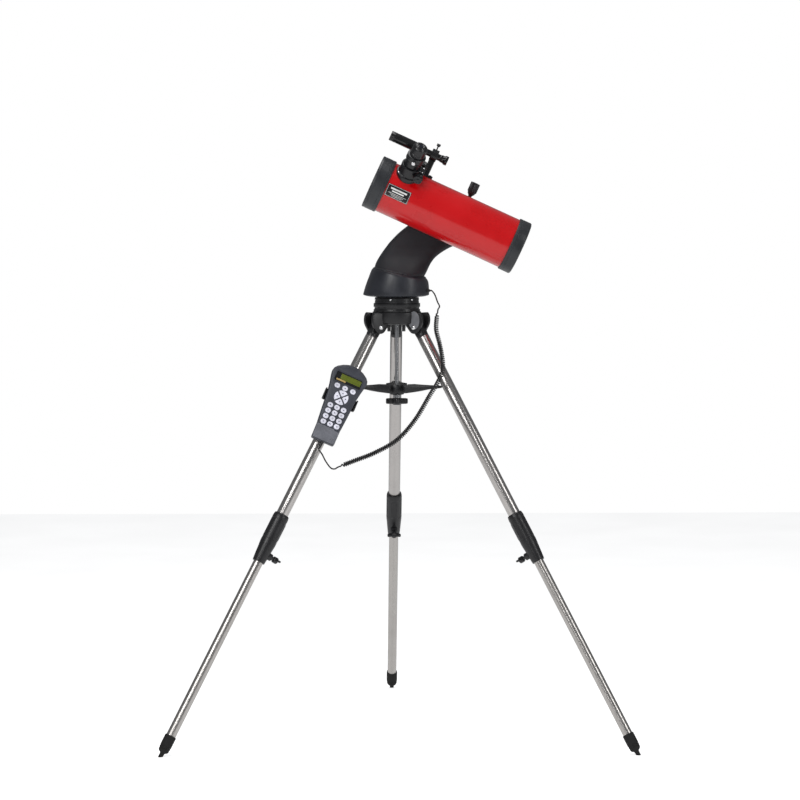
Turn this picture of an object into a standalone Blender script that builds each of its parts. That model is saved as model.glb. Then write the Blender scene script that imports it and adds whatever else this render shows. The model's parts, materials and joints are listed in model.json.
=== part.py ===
"""A small reflecting telescope on a one-arm motor head and a three-leg tripod, with its handset.

Metres, +Z up. The origin is on the floor, in the middle of the feet's outline. The azimuth axis
stands at x = 0, y = AZ_Y. The tube's open end points to -X and upwards, and the user stands at -Y.
"""

import math

import bmesh
import bpy
from mathutils import Euler, Matrix, Vector

GAP = 0.0003

# Tripod
LEG_ANGLES = {"left": 210.0, "right": 330.0, "back": 90.0}
LEG_TILT = math.radians(30.75)
PIVOT_RADIUS = 0.0635
PIVOT_Z = 1.078
LEG_LENGTH = PIVOT_Z / math.cos(LEG_TILT)
FOOT_RADIUS = PIVOT_RADIUS + LEG_LENGTH * math.sin(LEG_TILT)
AZ_Y = -FOOT_RADIUS / 4
UPPER_TUBE_R = 0.0159
UPPER_BORE_R = 0.0140
LOWER_TUBE_R = 0.0127
LOWER_BORE_R = 0.0113
UPPER_TUBE_START = 0.030
UPPER_TUBE_END = 0.640
LOWER_TUBE_START = 0.505
CLAMP_START = 0.556
CLAMP_END = 0.694
LOCK_KNOB_AT = 0.668
FOOT_START = LEG_LENGTH - 0.060
EAR_GAP = 0.030
EAR_WIDTH = 0.009

# Head
HUB_TOP = 1.1177
NECK_TOP = 1.1550
NECK_R = 0.0613
DRUM_R = 0.0860
DRUM_BOTTOM = 1.1580
DRUM_TOP = 1.2060
SPIGOT_R = 0.0300
SPIGOT_TOP = 1.1880

# Tray under the hub
TRAY_TOP = 0.9260
TRAY_HUB_DEPTH = 0.0270
TRAY_HINGE_R = 0.0360
TRAY_HINGE_DROP = 0.0120
TRAY_TIP_R = 0.1310
TRAY_KNOB_Z = 0.8890
ROD_R = 0.0050
ROD_END = 0.8700

# Optical tube, whose own +Z runs along it from the mirror to the open end
ALT_X = 0.1630
ALT_Z = 1.3575
TUBE_Y = -0.0750
TUBE_TILT = math.radians(24.6)
TUBE_R = 0.0675
TUBE_WALL = 0.0012
TUBE_FRONT = 0.2500
TUBE_REAR = -0.1740
RING_R = 0.0712
FRONT_RING_LENGTH = 0.0370
REAR_CELL_LENGTH = 0.0330
MIRROR_R = 0.0570

# Focuser, turned about the tube from the side that faces the sky to the user's side
FOCUS_TURN = math.radians(36.0)
FOCUS_AT = 0.1750
PINION_AT = (0.0275, 0.0885)
FINDER_AT = 0.1620
FINDER_HEIGHT = 0.1270
FINDER_RING_AT = -0.0300

# Handset on the left leg
HANDSET_AT = 0.237
HANDSET_TURN = math.radians(26.3)
HANDSET_TILT = math.radians(3.5)
HANDSET_BACK = 0.0215
HANDSET_DEPTH = 0.0260

# Cord
LEAD_R = 0.0020
CURL_R = 0.0065

MATERIALS = {
    "black_casting": ((0.030, 0.031, 0.034), 0.50, 0.0),
    "black_plastic": ((0.018, 0.018, 0.020), 0.42, 0.0),
    "charcoal_plastic": ((0.035, 0.038, 0.045), 0.45, 0.0),
    "red_paint": ((0.560, 0.010, 0.014), 0.20, 0.0),
    "stainless": ((0.620, 0.610, 0.600), 0.18, 1.0),
    "chrome": ((0.800, 0.800, 0.800), 0.08, 1.0),
    "mirror_glass": ((0.900, 0.910, 0.920), 0.02, 1.0),
    "matt_black": ((0.010, 0.010, 0.010), 0.80, 0.0),
    "handset_plastic": ((0.095, 0.105, 0.135), 0.50, 0.0),
    "screen_glass": ((0.180, 0.210, 0.030), 0.15, 0.0),
    "key_rubber": ((0.720, 0.720, 0.800), 0.55, 0.0),
    "cord_plastic": ((0.012, 0.012, 0.013), 0.50, 0.0),
    "foot_rubber": ((0.012, 0.012, 0.012), 0.75, 0.0),
}


def clear_scene():
    for old in list(bpy.data.objects):
        bpy.data.objects.remove(old, do_unlink=True)


def material(name):
    found = bpy.data.materials.get(name)
    if found:
        return found
    color, roughness, metallic = MATERIALS[name]
    made = bpy.data.materials.new(name)
    made.use_nodes = True
    shader = made.node_tree.nodes["Principled BSDF"]
    shader.inputs["Base Color"].default_value = (*color, 1.0)
    shader.inputs["Roughness"].default_value = roughness
    shader.inputs["Metallic"].default_value = metallic
    return made


def at(x, y, z):
    """A point given from the azimuth axis at floor level."""
    return Vector((x, y + AZ_Y, z))


def empty(name, matrix):
    made = bpy.data.objects.new(name, None)
    made.matrix_world = matrix
    bpy.context.scene.collection.objects.link(made)
    return made


def add_object(name, bm, material_name, parent=None, matrix=None, smooth=True):
    """An object with the mesh, placed by matrix in its parent's space."""
    bmesh.ops.remove_doubles(bm, verts=bm.verts, dist=1e-6)
    bmesh.ops.recalc_face_normals(bm, faces=bm.faces)
    mesh = bpy.data.meshes.new(name)
    bm.to_mesh(mesh)
    bm.free()
    if smooth:
        mesh.shade_smooth()
        mesh.set_sharp_from_angle(angle=math.radians(35))
    made = bpy.data.objects.new(name, mesh)
    made.data.materials.append(material(material_name))
    bpy.context.scene.collection.objects.link(made)
    made.parent = parent
    if matrix is not None:
        made.matrix_local = matrix
    return made


def turned(profile, steps=32):
    """A closed body turned about +Z. The profile is a list of (radius, z); it closes on itself."""
    bm = bmesh.new()
    rings = []
    for radius, z in profile:
        if radius < 1e-7:
            rings.append([bm.verts.new((0, 0, z))])
            continue
        angles = [2 * math.pi * i / steps for i in range(steps)]
        rings.append([bm.verts.new((radius * math.cos(a), radius * math.sin(a), z)) for a in angles])
    for first, second in zip(rings, rings[1:] + rings[:1]):
        for i in range(steps):
            j = (i + 1) % steps
            corners = [first[i % len(first)], first[j % len(first)]]
            corners += [second[j % len(second)], second[i % len(second)]]
            unique = list(dict.fromkeys(corners))
            if len(unique) > 2:
                bm.faces.new(unique)
    return bm


def prism(outline, low, high, axis="Z"):
    """A closed body with an outline of (a, b) points, from low to high along an axis."""
    place = {
        "Z": lambda a, b, h: (a, b, h),
        "Y": lambda a, b, h: (a, h, b),
        "X": lambda a, b, h: (h, a, b),
    }[axis]
    bm = bmesh.new()
    bottom = [bm.verts.new(place(a, b, low)) for a, b in outline]
    top = [bm.verts.new(place(a, b, high)) for a, b in outline]
    bm.faces.new(bottom)
    bm.faces.new(top)
    for i in range(len(outline)):
        j = (i + 1) % len(outline)
        bm.faces.new((bottom[i], bottom[j], top[j], top[i]))
    return bm


def lofted(rings):
    """A closed body through rings of points that all have the same count."""
    bm = bmesh.new()
    made = [[bm.verts.new(p) for p in ring] for ring in rings]
    bm.faces.new(made[0])
    bm.faces.new(made[-1])
    for first, second in zip(made, made[1:]):
        for i in range(len(first)):
            j = (i + 1) % len(first)
            bm.faces.new((first[i], first[j], second[j], second[i]))
    return bm


def arc(centre, radius, start, end, steps):
    """Points of an arc in degrees, its two ends included."""
    points = []
    for i in range(steps + 1):
        a = math.radians(start + (end - start) * i / steps)
        points.append((centre[0] + radius * math.cos(a), centre[1] + radius * math.sin(a)))
    return points


def rounded_box(size_x, size_y, corner, steps=4):
    """The outline of a rectangle with round corners, centred on zero."""
    points = []
    for sx, sy, start in ((1, 1, 0), (-1, 1, 90), (-1, -1, 180), (1, -1, 270)):
        centre = (sx * (size_x / 2 - corner), sy * (size_y / 2 - corner))
        points += arc(centre, corner, start, start + 90, steps)
    return points


def superellipse(x_low, x_high, y_low, y_high, power, z, steps=32):
    points = []
    for i in range(steps):
        a = 2 * math.pi * i / steps
        c, s = math.cos(a), math.sin(a)
        x = math.copysign(abs(c) ** (2 / power), c)
        y = math.copysign(abs(s) ** (2 / power), s)
        x = (x_low + x_high) / 2 + x * (x_high - x_low) / 2
        y = (y_low + y_high) / 2 + y * (y_high - y_low) / 2
        points.append((x, y + AZ_Y, z))
    return points


def cutter(name, bm, parent=None, matrix=None):
    made = add_object(name, bm, "matt_black", parent, matrix, smooth=False)
    made.hide_render = True
    made.display_type = "WIRE"
    return made


def boolean(target, tool, operation="DIFFERENCE"):
    modifier = target.modifiers.new(tool.name, "BOOLEAN")
    modifier.operation = operation
    modifier.solver = "EXACT"
    modifier.object = tool
    return modifier


def turned_to(direction, position):
    """A matrix that carries +Z to a direction, at a position."""
    turn = Vector((0, 0, 1)).rotation_difference(Vector(direction)).to_matrix().to_4x4()
    return Matrix.Translation(position) @ turn


# Tripod


def make_hub():
    disc = [(0, 1.0860), (0.0560, 1.0860), (0.0620, 1.0900), (0.0640, HUB_TOP - 0.004)]
    disc += [(0.0640, HUB_TOP), (0, HUB_TOP)]
    hub = add_object("hub", turned(disc, 36), "black_casting", None, Matrix.Translation(at(0, 0, 0)))
    for name, angle in LEG_ANGLES.items():
        for side in (-1, 1):
            inner = side * EAR_GAP / 2
            outer = side * (EAR_GAP / 2 + EAR_WIDTH)
            outline = [(0.040, 0.036), (0.040, 0.004)]
            outline += arc((PIVOT_RADIUS, 0), 0.0160, 225, 360, 6)
            outline += [(0.0860, 0.012), (0.0840, 0.028), (0.0780, 0.036)]
            bm = prism(outline, min(inner, outer), max(inner, outer), axis="Y")
            place = Matrix.Translation(at(0, 0, PIVOT_Z)) @ Matrix.Rotation(math.radians(angle), 4, "Z")
            ear = cutter(f"ear_{name}_{side}", bm, None, place)
            boolean(hub, ear, "UNION")
            bore = turned([(0, -0.03), (0.0042, -0.03), (0.0042, 0.03), (0, 0.03)], 16)
        place = Matrix.Translation(at(0, 0, PIVOT_Z)) @ Matrix.Rotation(math.radians(angle), 4, "Z")
        across = Matrix.Translation((PIVOT_RADIUS, 0, 0)) @ Matrix.Rotation(math.radians(90), 4, "X")
        boolean(hub, cutter(f"bolt_hole_{name}", bore, None, place @ across))
        space = prism(rounded_box(0.064, EAR_GAP, 0.0005, 1), -0.020, 0.0255)
        slot = cutter(f"ear_slot_{name}", space, None, place @ Matrix.Translation((0.074, 0, 0)))
        boolean(hub, slot)
    rod_hole = turned([(0, 1.08), (ROD_R + GAP, 1.08), (ROD_R + GAP, 1.1017), (0, 1.1017)], 16)
    boolean(hub, cutter("rod_hole", rod_hole, None, Matrix.Translation(at(0, 0, 0))))


def leg_pivot(name):
    angle = math.radians(LEG_ANGLES[name])
    position = at(PIVOT_RADIUS * math.cos(angle), PIVOT_RADIUS * math.sin(angle), PIVOT_Z)
    turn = Euler((0, -LEG_TILT, angle)).to_matrix().to_4x4()
    return empty(f"leg_{name}_pivot", Matrix.Translation(position) @ turn)


def make_leg(name):
    pivot = leg_pivot(name)
    across = Matrix.Rotation(math.radians(90), 4, "X")

    bolt = [(0, -0.0290), (0.0060, -0.0290), (0.0060, -0.0243), (0.0039, -0.0243)]
    bolt += [(0.0039, 0.0243), (0.0060, 0.0243), (0.0060, 0.0290), (0, 0.0290)]
    add_object(f"pivot_bolt_{name}", turned(bolt, 16), "chrome", pivot, across)

    body = [(0, -0.052), (UPPER_BORE_R - GAP, -0.052), (UPPER_BORE_R - GAP, -0.0297), (0.0155, -0.0297)]
    body += [(0.0155, -0.0195), (0, -0.0195)]
    fitting = add_object(f"leg_top_{name}", turned(body, 20), "black_plastic", pivot)
    outline = [(-0.0110, -0.0240), (0.0110, -0.0240), (0.0130, 0.004)]
    outline += arc((0, 0.004), 0.0130, 0, 180, 8)[1:]
    block = prism(outline, -EAR_GAP / 2 + 0.001, EAR_GAP / 2 - 0.001, axis="Y")
    boolean(fitting, cutter(f"leg_top_block_{name}", block, pivot), "UNION")
    hole = turned([(0, -0.03), (0.0042, -0.03), (0.0042, 0.03), (0, 0.03)], 16)
    boolean(fitting, cutter(f"leg_top_hole_{name}", hole, pivot, across))

    tube = [(UPPER_BORE_R, -UPPER_TUBE_END), (UPPER_TUBE_R, -UPPER_TUBE_END)]
    tube += [(UPPER_TUBE_R, -UPPER_TUBE_START), (UPPER_BORE_R, -UPPER_TUBE_START)]
    add_object(f"upper_tube_{name}", turned(tube, 28), "stainless", pivot)

    sleeve = [(UPPER_TUBE_R + GAP, -CLAMP_START), (UPPER_TUBE_R + GAP, -UPPER_TUBE_END - GAP)]
    sleeve += [(LOWER_TUBE_R + GAP, -UPPER_TUBE_END - GAP), (LOWER_TUBE_R + GAP, -CLAMP_END)]
    sleeve += [(0.0165, -CLAMP_END), (0.0195, -0.655), (0.0210, -0.640)]
    sleeve += [(0.0210, -0.566), (0.0190, -CLAMP_START)]
    clamp = add_object(f"clamp_{name}", turned(sleeve, 28), "black_plastic", pivot)
    boss_profile = [(0, 0), (0.0095, 0), (0.0095, 0.0130), (0, 0.0130)]
    inward = turned_to((-1, 0, 0), Vector((-0.0150, 0, -LOCK_KNOB_AT)))
    boolean(clamp, cutter(f"clamp_boss_{name}", turned(boss_profile, 16), pivot, inward), "UNION")

    knob_place = turned_to((-1, 0, 0), Vector((-0.0283, 0, -LOCK_KNOB_AT)))
    stem = [(0, 0), (0.0050, 0), (0.0050, 0.006), (0.0085, 0.008), (0.0085, 0.020), (0, 0.020)]
    knob = add_object(f"lock_knob_{name}", turned(stem, 16), "black_plastic", pivot, knob_place)
    wing = [(-0.0170, 0.012), (-0.0060, 0.009), (0.0060, 0.009), (0.0170, 0.012)]
    wing += [(0.0180, 0.022), (0.0080, 0.0215), (-0.0080, 0.0215), (-0.0180, 0.022)]
    wings = cutter(f"lock_wings_{name}", prism(wing, -0.0022, 0.0022, axis="X"), pivot, knob_place)
    boolean(knob, wings, "UNION")

    lower = [(LOWER_BORE_R, -FOOT_START - 0.030), (LOWER_TUBE_R, -FOOT_START - 0.030)]
    lower += [(LOWER_TUBE_R, -LOWER_TUBE_START), (LOWER_BORE_R, -LOWER_TUBE_START)]
    add_object(f"lower_tube_{name}", turned(lower, 28), "stainless", pivot)

    floor_cut = LEG_LENGTH
    foot_top = FOOT_START + 0.0303
    collar = [(0, -floor_cut - 0.004), (0.0055, -floor_cut - 0.004), (0.0060, -floor_cut + 0.012)]
    collar += [(0.0125, -floor_cut + 0.016), (0.0150, -FOOT_START - 0.032), (0.0150, -FOOT_START)]
    collar += [(LOWER_TUBE_R + GAP, -FOOT_START), (LOWER_TUBE_R + GAP, -foot_top), (0, -foot_top)]
    foot = add_object(f"foot_{name}", turned(collar, 20), "foot_rubber", pivot)
    floor = prism([(-2, -2), (2, -2), (2, 2), (-2, 2)], -0.1, 0.0)
    boolean(foot, cutter(f"floor_plane_{name}", floor))
    return pivot


def make_tray():
    place = Matrix.Translation(at(0, 0, 0))
    rod = [(0, ROD_END), (ROD_R, ROD_END), (ROD_R, 0.8893), (0.0100, 0.8893), (0.0100, 0.8980)]
    rod += [(ROD_R, 0.8980), (ROD_R, 1.1010), (0, 1.1010)]
    add_object("centre_rod", turned(rod, 16), "chrome", None, place)

    low = TRAY_TOP - TRAY_HUB_DEPTH
    hub = [(ROD_R + GAP, low), (0.0180, low), (0.0220, low + 0.004), (0.0220, TRAY_TOP)]
    hub += [(ROD_R + GAP, TRAY_TOP)]
    tray_hub = add_object("tray_hub", turned(hub, 24), "black_plastic", None, place)
    for angle in LEG_ANGLES.values():
        lug = prism(rounded_box(0.024, 0.012, 0.002, 2), TRAY_TOP - 0.018, TRAY_TOP - 0.002)
        turn = Matrix.Rotation(math.radians(angle), 4, "Z") @ Matrix.Translation((0.028, 0, 0))
        boolean(tray_hub, cutter(f"tray_lug_{angle:.0f}", lug, None, place @ turn), "UNION")

    for name, angle in LEG_ANGLES.items():
        spin = Matrix.Rotation(math.radians(angle), 4, "Z")
        centre = at(0, 0, TRAY_TOP - TRAY_HINGE_DROP)
        reach = Matrix.Translation((TRAY_HINGE_R, 0, 0))
        hinge = empty(f"tray_arm_{name}_pivot", Matrix.Translation(centre) @ spin @ reach)
        up = TRAY_HINGE_DROP
        tip = TRAY_TIP_R - TRAY_HINGE_R
        side = [(-0.0100, up), (-0.0100, up - 0.0130), (0.0040, up - 0.0215), (0.0540, up - 0.0115)]
        side += [(tip, up - 0.0060), (tip, up)]
        arm = add_object(
            f"tray_arm_{name}", prism(side, -0.0300, 0.0300, axis="Y"), "black_plastic", hinge
        )
        plan = [(-0.0085, -0.0130), (0.0020, -0.0280), (0.0260, -0.0180), (0.0590, -0.0115)]
        plan += [(tip, -0.0095), (tip, 0.0095), (0.0590, 0.0115)]
        plan += [(0.0260, 0.0180), (0.0020, 0.0280), (-0.0085, 0.0130)]
        shape = cutter(f"tray_plan_{name}", prism(plan, -0.05, 0.05), hinge)
        boolean(arm, shape, "INTERSECT")
        notch = prism(rounded_box(0.0360, 0.0135, 0.002, 2), -0.03, 0.03)
        slot = cutter(f"tray_slot_{name}", notch, hinge, Matrix.Translation((-0.0095, 0, 0)))
        boolean(arm, slot)

    lobes = []
    for i in range(48):
        a = 2 * math.pi * i / 48
        radius = 0.0225 + 0.0065 * math.cos(4 * a)
        lobes.append((radius * math.cos(a), radius * math.sin(a)))
    knob_place = Matrix.Translation(at(0, 0, TRAY_KNOB_Z))
    knob = add_object("tray_knob", prism(lobes, -0.0150, -GAP), "black_plastic", None, knob_place)
    bore = turned([(0, -0.02), (ROD_R + GAP, -0.02), (ROD_R + GAP, 0.01), (0, 0.01)], 16)
    boolean(knob, cutter("tray_knob_bore", bore, None, knob_place))


# Head


def make_neck():
    r = NECK_R
    profile = [(0, HUB_TOP + GAP), (r, HUB_TOP + GAP), (r, 1.1240), (r - 0.002, 1.1250)]
    profile += [(r - 0.002, 1.1290), (r, 1.1300), (r, 1.1400), (r - 0.003, 1.1420)]
    profile += [(r - 0.003, NECK_TOP), (SPIGOT_R, NECK_TOP), (SPIGOT_R, SPIGOT_TOP), (0, SPIGOT_TOP)]
    add_object("azimuth_neck", turned(profile, 40), "black_casting", None, Matrix.Translation(at(0, 0, 0)))


def make_drum():
    r = DRUM_R
    bore = SPIGOT_R + 0.0005
    profile = [(bore, DRUM_BOTTOM), (r - 0.006, DRUM_BOTTOM), (r, DRUM_BOTTOM + 0.006)]
    profile += [(r, DRUM_TOP - 0.010), (r - 0.003, DRUM_TOP - 0.003), (r - 0.007, DRUM_TOP)]
    profile += [(0, DRUM_TOP), (0, SPIGOT_TOP + 0.001), (bore, SPIGOT_TOP + 0.001)]
    place = Matrix.Translation(at(0, 0, 0))
    drum = add_object("drum_housing", turned(profile, 44), "charcoal_plastic", None, place)
    socket = turned([(0, -0.0170), (0.0053, -0.0170), (0.0053, 0.01), (0, 0.01)], 16)
    tip, direction = DRUM_EXIT
    boolean(drum, cutter("drum_socket", socket, None, turned_to(direction, at(*tip))))


ARM_SLICES = (
    # height, left, right, front, back, squareness
    (DRUM_TOP + GAP, -0.0765, 0.0785, -0.0760, 0.0770, 2.1),
    (1.2140, -0.0715, 0.0765, -0.0660, 0.0775, 2.3),
    (1.2280, -0.0640, 0.0830, -0.0440, 0.0775, 2.6),
    (1.2440, -0.0550, 0.0900, -0.0200, 0.0775, 3.0),
    (1.2600, -0.0460, 0.1030, 0.0010, 0.0775, 3.5),
    (1.2760, -0.0350, 0.1250, 0.0130, 0.0775, 4.0),
    (1.2880, -0.0260, 0.1480, 0.0190, 0.0770, 4.5),
    (1.2960, -0.0200, 0.1750, 0.0215, 0.0765, 5.0),
    (1.3060, -0.0110, 0.1980, 0.0235, 0.0760, 5.0),
    (1.3240, 0.0070, 0.2150, 0.0240, 0.0755, 5.0),
    (1.3440, 0.0320, 0.2230, 0.0240, 0.0750, 5.0),
    (1.3640, 0.0600, 0.2240, 0.0240, 0.0745, 5.0),
    (1.3840, 0.0880, 0.2190, 0.0245, 0.0740, 5.0),
    (1.4020, 0.1160, 0.2060, 0.0255, 0.0730, 4.5),
    (1.4130, 0.1380, 0.1900, 0.0280, 0.0710, 4.0),
    (1.4180, 0.1520, 0.1740, 0.0330, 0.0660, 3.0),
)


def make_arm():
    rings = [superellipse(l, r, f, b, power, z, 36) for z, l, r, f, b, power in ARM_SLICES]
    arm = add_object("arm", lofted(rings), "charcoal_plastic")
    axis = turned_to((0, -1, 0), at(ALT_X, 0.0500, ALT_Z))
    hole = turned([(0, 0), (0.0185, 0), (0.0185, 0.05), (0, 0.05)], 28)
    boolean(arm, cutter("arm_bearing", hole, None, axis))


def alt_pivot():
    turn = Matrix.Rotation(math.radians(-90) + TUBE_TILT, 4, "Y")
    return empty("altitude_pivot", Matrix.Translation(at(ALT_X, TUBE_Y, ALT_Z)) @ turn)


def make_cradle(pivot):
    """The turning flange, saddle and dovetail bar. In the pivot's space +Y points to the arm."""
    back = TUBE_R + GAP
    to_arm = turned_to((0, 1, 0), Vector((0, 0, 0)))
    flange = [(0, 0.0860), (0.0440, 0.0860), (0.0480, 0.0880), (0.0480, 0.0985), (0.0180, 0.0985)]
    flange += [(0.0180, 0.1240), (0, 0.1240)]
    add_object("altitude_flange", turned(flange, 36), "charcoal_plastic", pivot, to_arm)

    section = [(-0.0290, 0.0857), (-0.0290, 0.0740), (-0.0225, 0.0740), (-0.0225, 0.0805)]
    section += [(0.0225, 0.0805), (0.0225, 0.0740), (0.0290, 0.0740), (0.0290, 0.0857)]
    saddle = add_object("saddle", prism(section, -0.0350, 0.0350), "black_casting", pivot)
    outer = turned([(0, -0.005), (0.0056, -0.005), (0.0056, 0.008), (0, 0.008)], 16)
    stub = turned_to((1, 0, 0), Vector((0.0330, 0.0800, 0)))
    boolean(saddle, cutter("saddle_boss", outer, pivot, stub), "UNION")

    bar = [(-0.0205, 0.0802), (-0.0165, 0.0712), (0.0165, 0.0712), (0.0205, 0.0802)]
    dovetail = add_object("dovetail_bar", prism(bar, -0.0900, 0.0900), "black_casting", pivot)
    foot = prism([(-0.0120, 0.0715), (-0.0120, 0.0600), (0.0120, 0.0600), (0.0120, 0.0715)], -0.075, 0.075)
    boolean(dovetail, cutter("dovetail_foot", foot, pivot), "UNION")
    tube = turned([(0, -0.2), (back, -0.2), (back, 0.2), (0, 0.2)], 48)
    boolean(dovetail, cutter("dovetail_seat", tube, pivot))

    grip = []
    for i in range(60):
        a = 2 * math.pi * i / 60
        radius = 0.0118 + 0.0008 * math.cos(12 * a)
        grip.append((radius * math.cos(a), radius * math.sin(a)))
    knob_place = turned_to((1, 0, 0), Vector((0.0413, 0.0800, 0)))
    knob = add_object("saddle_knob", prism(grip, 0.0390, 0.0660), "black_plastic", pivot, knob_place)
    stem = turned([(0, 0), (0.0050, 0), (0.0050, 0.030), (0.0085, 0.0340), (0.0085, 0.0400), (0, 0.0400)], 16)
    boolean(knob, cutter("saddle_knob_stem", stem, pivot, knob_place), "UNION")


def make_tube(pivot):
    """The optical tube. In the pivot's space +Z points to the open end and +X to the sky side."""
    wall = TUBE_R - TUBE_WALL
    low = TUBE_REAR + REAR_CELL_LENGTH - 0.020
    high = TUBE_FRONT - FRONT_RING_LENGTH + 0.020
    profile = [(wall, low), (TUBE_R, low), (TUBE_R, high), (wall, high)]
    tube = add_object("main_tube", turned(profile, 56), "red_paint", pivot)
    hole = turned([(0, 0.050), (0.0245, 0.050), (0.0245, 0.090), (0, 0.090)], 28)
    boolean(tube, cutter("focuser_hole", hole, pivot, focus_matrix()))

    inner = TUBE_R + GAP
    start = TUBE_FRONT - FRONT_RING_LENGTH
    ring = [(inner, start), (RING_R - 0.001, start), (RING_R, start + 0.002), (RING_R, TUBE_FRONT - 0.002)]
    ring += [(RING_R - 0.002, TUBE_FRONT), (0.0630, TUBE_FRONT), (0.0630, high + GAP), (inner, high + GAP)]
    add_object("front_ring", turned(ring, 48), "charcoal_plastic", pivot)

    end = TUBE_REAR + REAR_CELL_LENGTH
    cell = [(0, TUBE_REAR), (RING_R - 0.003, TUBE_REAR), (RING_R, TUBE_REAR + 0.003), (RING_R, end - 0.001)]
    cell += [(RING_R - 0.001, end), (inner, end), (inner, low - GAP), (0.0600, low - GAP)]
    cell += [(0.0600, TUBE_REAR + 0.004), (0, TUBE_REAR + 0.004)]
    add_object("rear_cell", turned(cell, 48), "charcoal_plastic", pivot)

    face = TUBE_REAR + 0.0180
    mirror = [(0, TUBE_REAR + 0.0045), (MIRROR_R, TUBE_REAR + 0.0045), (MIRROR_R, face)]
    mirror += [(MIRROR_R * 0.5, face - 0.0010), (0, face - 0.0014)]
    add_object("primary_mirror", turned(mirror, 40), "mirror_glass", pivot)

    at_z = FOCUS_AT
    centre = [(0, at_z + 0.006), (0.0120, at_z + 0.006), (0.0120, at_z + 0.030), (0, at_z + 0.030)]
    spider = add_object("spider", turned(centre, 24), "matt_black", pivot)
    for i in range(4):
        vane = prism(rounded_box(0.0560, 0.0016, 0.0005, 1), at_z + 0.010, at_z + 0.022)
        turn = Matrix.Rotation(math.radians(45 + 90 * i) - FOCUS_TURN, 4, "Z") @ Matrix.Translation((0.0375, 0, 0))
        boolean(spider, cutter(f"vane_{i}", vane, pivot, turn), "UNION")
    flat_face = turned([(0, -0.0145), (0.0110, -0.0145), (0.0110, 0.0056), (0, 0.0056)], 24)
    flat = add_object("secondary_mirror", flat_face, "mirror_glass", pivot, Matrix.Translation((0, 0, at_z)))
    wedge = prism([(-0.03, -0.033), (0.03, 0.027), (0.03, -0.05), (-0.03, -0.05)], -0.02, 0.02, axis="Y")
    slant = Matrix.Translation((0, 0, at_z)) @ Matrix.Rotation(math.pi - FOCUS_TURN, 4, "Z")
    boolean(flat, cutter("secondary_slant", wedge, pivot, slant))


def focus_matrix():
    """+Z out of the tube along the focuser, from the tube's axis; +X points to the tube's rear."""
    turn = Matrix.Rotation(-FOCUS_TURN, 4, "Z") @ Matrix.Rotation(math.radians(90), 4, "Y")
    return Matrix.Translation((0, 0, FOCUS_AT)) @ turn


def make_focuser(pivot):
    place = focus_matrix()
    base = turned([(0.0232, 0.050), (0.0360, 0.050), (0.0360, 0.0730), (0.0270, 0.0770)]
                  + [(0.0270, 0.0990), (0.0232, 0.0990)], 32)
    body = add_object("focuser_body", base, "black_casting", pivot, place)
    seat = turned([(0, -0.2), (TUBE_R + GAP, -0.2), (TUBE_R + GAP, 0.3), (0, 0.3)], 56)
    boolean(body, cutter("focuser_seat", seat, pivot))
    block = prism(rounded_box(0.0200, 0.0300, 0.003, 2), 0.0760, 0.0970)
    rack_box = cutter("pinion_block", block, pivot, place @ Matrix.Translation((0.0275, 0, 0)))
    boolean(body, rack_box, "UNION")
    clear_bore = turned([(0, 0.04), (0.0232, 0.04), (0.0232, 0.12), (0, 0.12)], 32)
    boolean(body, cutter("focuser_bore", clear_bore, pivot, place))
    shaft_hole = turned([(0, -0.03), (0.0036, -0.03), (0.0036, 0.03), (0, 0.03)], 16)
    axle = Matrix.Translation((PINION_AT[0], 0, PINION_AT[1]))
    pinion = place @ axle @ Matrix.Rotation(math.radians(90), 4, "X")
    boolean(body, cutter("pinion_hole", shaft_hole, pivot, pinion))
    gear_room = turned([(0, -0.0068), (0.0046, -0.0068), (0.0046, 0.0068), (0, 0.0068)], 16)
    boolean(body, cutter("pinion_room", gear_room, pivot, pinion))

    shaft = [(0, -0.0400), (0.0110, -0.0400), (0.0120, -0.0385), (0.0120, -0.0240), (0.0110, -0.0225)]
    shaft += [(0.0033, -0.0225), (0.0033, -0.0065), (0.0043, -0.0065), (0.0043, 0.0065)]
    shaft += [(0.0033, 0.0065), (0.0033, 0.0225), (0.0110, 0.0225), (0.0120, 0.0240)]
    shaft += [(0.0120, 0.0385), (0.0110, 0.0400), (0, 0.0400)]
    add_object("focus_knobs", turned(shaft, 24), "black_plastic", pivot, pinion)

    draw = [(0.0205, 0.0560), (0.0229, 0.0560), (0.0229, 0.1180), (0.0250, 0.1185)]
    draw += [(0.0250, 0.1330), (0.0235, 0.1345), (0.0160, 0.1345), (0.0160, 0.1240), (0.0205, 0.1240)]
    tube = add_object("drawtube", turned(draw, 32), "black_plastic", pivot, place)
    screw_place = place @ Matrix.Translation((0.0, 0, 0.1270)) @ turned_to((0, -1, 0), Vector((0, -0.0255, 0)))
    hole = turned([(0, -0.012), (0.0022, -0.012), (0.0022, 0.006), (0, 0.006)], 12)
    boolean(tube, cutter("screw_hole", hole, pivot, screw_place))
    screw = [(0, -0.0085), (0.0019, -0.0085), (0.0019, 0.0010), (0.0050, 0.0020), (0.0050, 0.0090), (0, 0.0090)]
    add_object("eyepiece_screw", turned(screw, 16), "chrome", pivot, screw_place)

    barrel = [(0, 0.1100), (0.0156, 0.1100), (0.0156, 0.1350), (0.0205, 0.1350), (0.0205, 0.1500)]
    barrel += [(0.0175, 0.1660), (0.0150, 0.1680), (0, 0.1680)]
    add_object("eyepiece", turned(barrel, 28), "black_plastic", pivot, place)


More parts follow.
